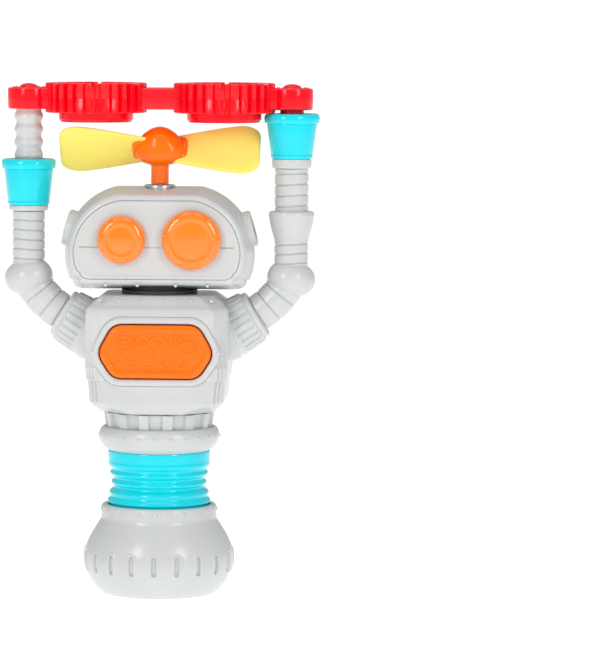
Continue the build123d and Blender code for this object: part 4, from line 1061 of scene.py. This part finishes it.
def makeArms():
    for label, side in sides:
        way = tilted(arms["tilt"], side)
        at = Vector((side * shoulderAt.x, 0, shoulderAt.z))
        s = arms["shoulder"]
        profile = [(8, -5.0), (arms["root"], -5.0), (arms["root"], 0.6)]
        profile += [(mix(arms["root"], arms["end"], z / s), z) for z in spread(0.8, s - 0.8, 0.5)]
        profile += [(arms["end"] - 0.1, s - 0.5), (arms["end"] - 0.5, s), (arms["flange"] + 0.1, s + 0.12),
                    (arms["flange"], s + 0.5), (arms["flange"], s + arms["thick"] - 0.6),
                    (arms["flange"] - 0.6, s + arms["thick"]), (8, s + arms["thick"])]
        angles = ringAngles(arms["ribs"], [0, 1.2, 1.9, 2.8, 3.8, 4.4], 4)
        shoulder = turned(label + "Shoulder", profile, angles=angles, shape=shoulderSkin,
                          place=placement(at, way))
        fit(shoulder, "grey", "robot", label + "_shoulder")

        elbowLow, elbowHigh = cadBox(label + "_elbow")
        elbow = (elbowLow + elbowHigh) / 2
        start = at + way * (s + arms["thick"] + 0.05)
        stop = Vector((elbow.x - side * 0.6, 0, elbow.z))
        span = stop - start
        bend = span.cross(way).y
        normal = Vector((way.z, 0, -way.x)) * (1 if bend < 0 else -1)
        radius = span.length_squared / (2 * span.dot(normal))
        centre = start + normal * radius
        turnBy = 2 * math.asin(min(1.0, span.length / 2 / abs(radius)))
        length = abs(radius) * turnBy
        rows = []
        grooves = [length * share for share in (0.02, 0.3, 0.62)]
        for run in spread(0, length, 0.2):
            a = run / abs(radius)
            back = start - centre
            along = way
            here = centre + back * math.cos(a) + along * abs(radius) * math.sin(a)
            toward = (along * math.cos(a) - back.normalized() * math.sin(a)).normalized()
            rows.append((here, toward, segmentRadius(arms["upper"], run, grooves + [length * 0.96])))
        fit(limb(label + "UpperArm", rows), "grey", "robot", label + "_upper_arm")

        wide, tall = 11.5, 7.75
        edge = [(wide - tall + tall * math.cos(a) * (0.995 if abs(a) < 1.2 else 1), tall * math.sin(a))
                for a in [math.radians(d) for d in range(-90, 91, 6)]]
        joint = turned(label + "Elbow", [(0.8, -tall)] + edge + [(0.8, tall)], 72, closed=False,
                       place=placement(elbow,
                                       (side * math.sin(math.radians(10)), 0, math.cos(math.radians(10)))))
        fit(joint, "grey", "robot", label + "_elbow")

        low, high = cadBox(label + "_forearm")
        first = elbow.z + 6.2
        if side < 0:
            grooves = [first + 2.6 + (high.z - first - 2.6) * i / 5 for i in range(6)]
        else:
            cuffTop = cadBox("right_cuff")[1].z
            grooves = [first + 1.2, first + 5.8, first + 10.2, first + 14.0]
            grooves += [cuffTop + (i + 0.5) * (high.z - cuffTop) / 4 for i in range(4)]
        rows = []
        for z in spread(elbow.z - 1, high.z, 0.2):
            lean = 4 * smoothStep(0, 6, high.z - z)
            way2 = Vector((-side * math.sin(math.radians(lean)), 0, math.cos(math.radians(lean))))
            rows.append(((elbow.x, 0, z), way2, segmentRadius(arms[label], z, grooves)))
        fit(limb(label + "Forearm", rows), "grey", "robot", label + "_forearm")

        low, high = cadBox(label + "_cup_collar")
        r = 9.35
        ring = [(4, low.z), (r - 0.5, low.z), (r - 0.1, low.z + 0.3), (r, low.z + 0.8), (r, high.z - 0.8),
                (r - 0.1, high.z - 0.3), (r - 0.5, high.z), (4, high.z)]
        fit(turned(label + "CupCollar", ring, 64, place=Matrix.Translation((elbow.x, 0, 0))), "grey",
            "robot",
            label + "_cup_collar")

    low, high = cadBox("right_cuff")
    tall = high.z - low.z
    curve = through([(8.2, 0), (8.5, tall * 0.12), (9.9, tall * 0.48), (10.75, tall * 0.82),
                     (10.8, tall * 0.9),
                     (10.45, tall - 0.3)], 6)
    profile = [(8.05, 0.0)] + curve + [(10.1, tall), (8.6, tall), (8.4, tall - 0.8), (8.05, tall - 0.8)]
    fit(turned("rightCuff", [(r, low.z + z) for r, z in profile], 72,
               place=Matrix.Translation((armReach, 0, 0))),
        "grey", "robot", "right_cuff")


cups = {"left": {"foot": 9.9, "mouth": 12.85, "bore": 7.25, "deep": 16.4},
        "right": {"foot": 9.9, "mouth": 13.1, "bore": 6.0, "deep": 8.4}}


def makeCups():
    for label, side in sides:
        low, high = cadBox(label + "_cup")
        c = cups[label]
        m = c["mouth"]
        rim = high.z - 4.8
        profile = [(0.8, low.z), (c["foot"] - 0.9, low.z), (c["foot"] - 0.25, low.z + 0.25),
                   (c["foot"], low.z + 0.9), (c["foot"] + 0.1, low.z + 1.5),
                   (c["foot"] - 0.15, low.z + 2.0),
                   (c["foot"] + 0.15, low.z + 2.5), (m - 1.25, rim - 0.5), (m - 1.3, rim - 0.1),
                   (m - 0.9, rim + 0.1), (m - 0.25, rim + 0.35), (m, rim + 0.9), (m, high.z - 1.7),
                   (m - 0.2, high.z - 0.9), (m - 0.75, high.z - 0.25), (m - 1.6, high.z),
                   (c["bore"] + 0.6, high.z),
                   (c["bore"] + 0.15, high.z - 0.2), (c["bore"], high.z - 0.7),
                   (c["bore"], high.z - c["deep"]),
                   (0.8, high.z - c["deep"])]
        cup = turned(label + "Cup", profile, 80, place=Matrix.Translation((side * armReach, 0, 0)))
        fit(cup, "cyan", "robot", label + "_cup")


makeArms()
makeCups()
print("arms and cups made")


fan = {"radius": 48.0, "root": 6.4, "rootChord": 17.0, "tipChord": 30.0, "rootPitch": 42.0,
       "tipPitch": 50.0,
       "thick": 1.9}


def makeBlade(label, side):
    z0 = (bladeLow.z + bladeHigh.z) / 2
    loops = []
    tip = fan["radius"] - 0.3
    curl = 11.0
    for x in spread(fan["root"], tip - curl, 1.0) + [tip - curl + curl * math.sin(math.pi / 2 * i / 18)
                                                     for i in range(1, 19)]:
        span = max(0.0, (x - 7.0) / (fan["radius"] - 7.0))
        chord = fan["rootChord"] + (fan["tipChord"] - fan["rootChord"]) * math.sin(min(1,
                span) * math.pi / 2)
        near = max(0.0, (x - (tip - curl)) / curl)
        chord -= 15.0 * (1 - math.sqrt(max(0.0, 1 - near * near)))
        thick = fan["thick"] * math.sqrt(max(0.04, 1 - max(0.0, (x - tip + 1.2) / 1.2) ** 2))
        pitch = math.radians(mix(fan["rootPitch"], fan["tipPitch"], span))
        ring = []
        for i in range(44):
            a = tau * i / 44
            u = math.copysign(abs(math.cos(a)) ** 0.35, math.cos(a)) * chord / 2
            v = math.copysign(abs(math.sin(a)) ** 0.5, math.sin(a)) * thick / 2
            camber = 0.5 * (1 - (2 * u / chord) ** 2)
            v += camber
            ring.append((side * x, side * (u * math.cos(pitch) - v * math.sin(pitch)),
                         z0 + u * math.sin(pitch) + v * math.cos(pitch)))
        loops.append(ring)
    blade = stack(label + "Blade", loops, sharp=50)
    fit(blade, "foam", "fan", label + "_fan_blade")


def makeHub():
    low = hubLow.z
    top = hubHigh.z
    neck = top - 18.4
    r = 9.4
    profile = [(1.05, low), (4.0, low), (4.25, low + 0.3), (4.25, neck - 0.6)]
    profile += through([(4.5, neck + 0.1), (6.4, neck + 0.9), (8.6, neck + 2.4), (r, neck + 4.6),
                        (r + 0.1, neck + 7.5),
                        (r, top - 8.6), (8.5, top - 4.9), (6.6, top - 2.6), (3.8, top - 0.8),
                        (0.9, top)], 6)
    z0 = (bladeLow.z + bladeHigh.z) / 2

    def swell(radius, height, angle):
        if radius < 2:
            return radius
        near = math.exp(-((height - z0 + 1.5) / 6.0) ** 2) * smoothStep(4.6, 7.5, radius)
        return radius + 2.7 * near * abs(math.cos(angle + 0.25)) ** 2.4

    hub = turned("fanHub", profile + [(0.9, neck + 9.2), (1.05, neck + 9.2)], 128, shape=swell)
    fit(hub, "orange", "fan", "fan_hub")
    for label, side in sides:
        pitch = math.radians(fan["rootPitch"])
        loops = []
        for x, grow in ((3.0, 0.8), (8.0, 0.86), (10.4, 0.84), (12.0, 0.76), (12.9, 0.62), (13.2, 0.35)):
            ring = []
            for i in range(40):
                a = tau * i / 40
                u = 8.6 * grow * math.copysign(abs(math.cos(a)) ** 0.7, math.cos(a))
                v = 3.1 * grow * math.copysign(abs(math.sin(a)) ** 0.8, math.sin(a)) + 0.5
                ring.append((side * x, side * (u * math.cos(pitch) - v * math.sin(pitch)),
                             z0 + u * math.sin(pitch) + v * math.cos(pitch)))
            loops.append(ring)
        fit(stack(label + "BladeRoot", loops, sharp=50), "orange", "fan")


for label, side in sides:
    makeBlade(label, side)
makeHub()
print("fan made")


wand = {"spacing": 30.5, "gear": 24.1, "teeth": 28, "tooth": 2.6, "bore": 16.0, "skirt": 17.6, "combs": 44,
        "tip": 10.2, "half": 72.5, "depth": 8.4, "tall": 10.2}


def gearSkin(radius, height, angle):
    if radius > 20:
        period = tau / wand["teeth"]
        off = abs((angle + math.pi / 2 + period / 2) % period - period / 2) / period
        return radius - wand["tooth"] * smoothStep(0.19, 0.31, off)
    if radius < wand["bore"] + 0.6:
        period = tau / wand["combs"]
        off = abs((angle + period / 2) % period - period / 2) / period
        return radius + 0.45 * smoothStep(0.12, 0.3, off)
    return radius


def makeWand():
    skirtZ = wandLow.z
    gearZ = skirtZ + 4.4
    top = wandHigh.z
    r = wand["gear"]
    profile = [(wand["bore"], skirtZ + 0.2), (wand["bore"] + 0.3, skirtZ), (wand["skirt"] - 1.4, skirtZ),
               (wand["skirt"], skirtZ + 1.4), (wand["skirt"], gearZ - 0.1), (19.0, gearZ), (r - 0.5, gearZ),
               (r, gearZ + 0.5), (r, gearZ + 6.7), (r - 0.12, gearZ + 6.95), (r, gearZ + 7.2),
               (r, top - 0.5),
               (r - 0.5, top), (19.2, top), (18.8, top - 0.15), (18.6, top - 0.9), (17.4, top - 0.9),
               (17.2, top - 0.15), (17.0, top), (wand["bore"] + 0.3, top), (wand["bore"], top - 0.2)]
    angles = sorted({(tau * i / (wand["teeth"] * 16)) for i in range(wand["teeth"] * 16)})
    for label, side in sides:
        x = side * wand["spacing"]
        gear = turned(label + "Gear", profile, angles=angles, shape=gearSkin,
                      place=Matrix.Translation((x, 0, 0)))
        for way in (-1, 1):
            notch = stack("cutter", [[(x - 1.3, y, top + 0.5), (x - 0.35, y, top - 2.9),
                                      (x + 0.35, y, top - 2.9),
                                      (x + 1.3, y, top + 0.5)] for y in (way * 14, way * 26)])
            cut(gear, notch)
        fit(gear, "red", "wand", "wand_frame")

    low = gearZ + 1.6
    high = low + wand["tall"]
    tipX = wand["half"] - wand["tip"]

    def barOutline(grow):
        reach = math.degrees(math.asin((wand["depth"] - 0.6) / wand["tip"]))
        right = arc((tipX, 0), wand["tip"] + grow, -(180 - reach), 180 - reach, 44)
        right = [(tipX - 16, -wand["depth"] - grow), (tipX - 10.5, -wand["depth"] - grow)] + right
        right += [(tipX - 10.5, wand["depth"] + grow), (tipX - 16, wand["depth"] + grow)]
        return right + [(-x, -y) for x, y in right]

    rows = [(-1.3, low), (-0.5, low + 0.15), (-0.12, low + 0.5), (0, low + 1.1), (0, low + 4.85),
            (0.22, low + 5.0),
            (0.22, low + 5.2), (0, low + 5.35), (0, high - 1.1), (-0.12, high - 0.5), (-0.5, high - 0.15),
            (-1.3, high), (-2.0, high), (-2.3, high - 0.4), (-2.9, high - 0.4)]
    bar = stack("wandBar", [[(x, y, z) for x, y in barOutline(grow)] for grow, z in rows], flat=True)
    for side in (-1, 1):
        x = side * wand["spacing"]
        cut(bar, rodPiece(19.5, (x, 0, low - 3), (x, 0, high + 3), 96))
    for side, deep in ((-1, 4.4), (1, 3.65)):
        cut(bar, rodPiece(deep, (side * armReach, 0, low - 1), (side * armReach, 0, low + 4), 40))
    fit(bar, "red", "wand", "wand_frame")

    caps = [(4.5, high - 0.6), (4.5, high + 0.1), (4.35, high + 0.5), (3.9, high + 1.0), (3.0, high + 1.5),
            (1.8, high + 1.85), (0.8, high + 1.98)]
    for label, side in sides:
        cap = turned(label + "Cap", caps, 48, closed=False,
                     place=Matrix.Translation((side * armReach, 0, 0)))
        fit(cap, "red", "wand", "wand_end_caps")
        spots = []
        for i in range(11):
            a = math.radians(-150 + 30 * i)
            x = side * (tipX + 7.4 * math.cos(a)) if math.cos(a) > -0.9 else side * tipX
            spots.append(((x, 7.4 * math.sin(a), high - 0.05), (0, 0, 1), 1))
        studs(label + "TipBumps", "red", "wand", spots, 0.85, 0.5)

    gripLow, gripHigh = cadBox("wand_grip")
    foot = gripLow.z
    neck = low - 0.05
    rows = [(0.8, foot), (5.3, foot), (5.9, foot + 0.5)]
    for z in spread(foot + 0.8, neck - 0.2, 0.4):
        rows.append((6.35 + 0.48 * math.sin(tau * (neck - z) / 6.2 + 4.4), z))
    rows += [(6.0, neck), (4.35, neck), (4.35, gripHigh.z), (0.8, gripHigh.z)]
    grip = turned("wandGrip", rows, 56, closed=False, place=Matrix.Translation((-armReach, 0, 0)))
    fit(grip, "grey", "wand", "wand_grip")


makeWand()
print("wand made")


def areaLight(name, place, target, size, power, tall=None):
    lamp = bpy.data.lights.new(name, "AREA")
    lamp.shape = "RECTANGLE"
    lamp.size = size
    lamp.size_y = tall or size
    lamp.energy = power
    lamp.color = (1.0, 0.995, 0.985)
    made = bpy.data.objects.new(name, lamp)
    bpy.context.scene.collection.objects.link(made)
    made.location = place
    made.rotation_euler = (Vector(target) - Vector(place)).to_track_quat("-Z", "Y").to_euler()
    return made


def makeStage():
    floorSize = 6.0
    mesh = bpy.data.meshes.new("floor")
    mesh.from_pydata([(-floorSize, -floorSize, -0.0004), (floorSize, -floorSize, -0.0004),
                      (floorSize, floorSize, -0.0004), (-floorSize, floorSize, -0.0004)], [],
                      [(0, 1, 2, 3)])
    floor = bpy.data.objects.new("floor", mesh)
    bpy.context.scene.collection.objects.link(floor)
    paper = bpy.data.materials.new("paper")
    paper.use_nodes = True
    shader = paper.node_tree.nodes["Principled BSDF"]
    shader.inputs["Base Color"].default_value = (0.93, 0.93, 0.93, 1)
    shader.inputs["Roughness"].default_value = 0.14
    shader.inputs["Specular IOR Level"].default_value = 0.35
    shader.inputs["Emission Color"].default_value = (1, 1, 1, 1)
    shader.inputs["Emission Strength"].default_value = 0.62
    floor.data.materials.append(paper)
    world = bpy.data.worlds.new("studio")
    world.use_nodes = True
    tree = world.node_tree
    seen = tree.nodes["Background"]
    seen.inputs["Color"].default_value = (1, 1, 1, 1)
    seen.inputs["Strength"].default_value = 1.05
    fill = tree.nodes.new("ShaderNodeBackground")
    fill.inputs["Color"].default_value = (1, 1, 1, 1)
    fill.inputs["Strength"].default_value = 0.44
    ray = tree.nodes.new("ShaderNodeLightPath")
    pick = tree.nodes.new("ShaderNodeMixShader")
    tree.links.new(ray.outputs["Is Camera Ray"], pick.inputs["Fac"])
    tree.links.new(fill.outputs[0], pick.inputs[1])
    tree.links.new(seen.outputs[0], pick.inputs[2])
    tree.links.new(pick.outputs[0], tree.nodes["World Output"].inputs["Surface"])
    bpy.context.scene.world = world
    aim = (0, 0, 0.12)
    areaLight("leftSoftbox", (-0.62, -0.95, 0.62), aim, 0.26, 4.2, 0.6)
    areaLight("rightSoftbox", (0.75, -0.85, 0.60), aim, 0.26, 3.6, 0.6)
    areaLight("topPanel", (0.0, -0.1, 1.15), aim, 0.9, 2.6)
    bpy.context.scene.view_settings.view_transform = "Standard"


def makeCamera():
    # Long lens a little to the right and above, the robot at the left of the frame.
    azimuth = math.radians(3.99)
    elevation = math.radians(4.95)
    lens = bpy.data.cameras.new("camera")
    lens.lens = 220
    lens.sensor_width = 36
    lens.shift_x = 0.2155
    lens.shift_y = 0.0238
    camera = bpy.data.objects.new("camera", lens)
    bpy.context.scene.collection.objects.link(camera)
    back = Vector((math.sin(azimuth) * math.cos(elevation), -math.cos(azimuth) * math.cos(elevation),
                   math.sin(elevation)))
    camera.location = Vector((0, 0, 0.120)) + back * 1.9
    turn = (-back).to_track_quat("-Z", "Y").to_matrix().to_4x4() @ Matrix.Rotation(math.radians(0.16),
            4, "Z")
    camera.rotation_euler = turn.to_euler()
    lens.clip_start = 0.05
    lens.clip_end = 50
    bpy.context.scene.camera = camera


makeStage()
makeCamera()

print("stage set")
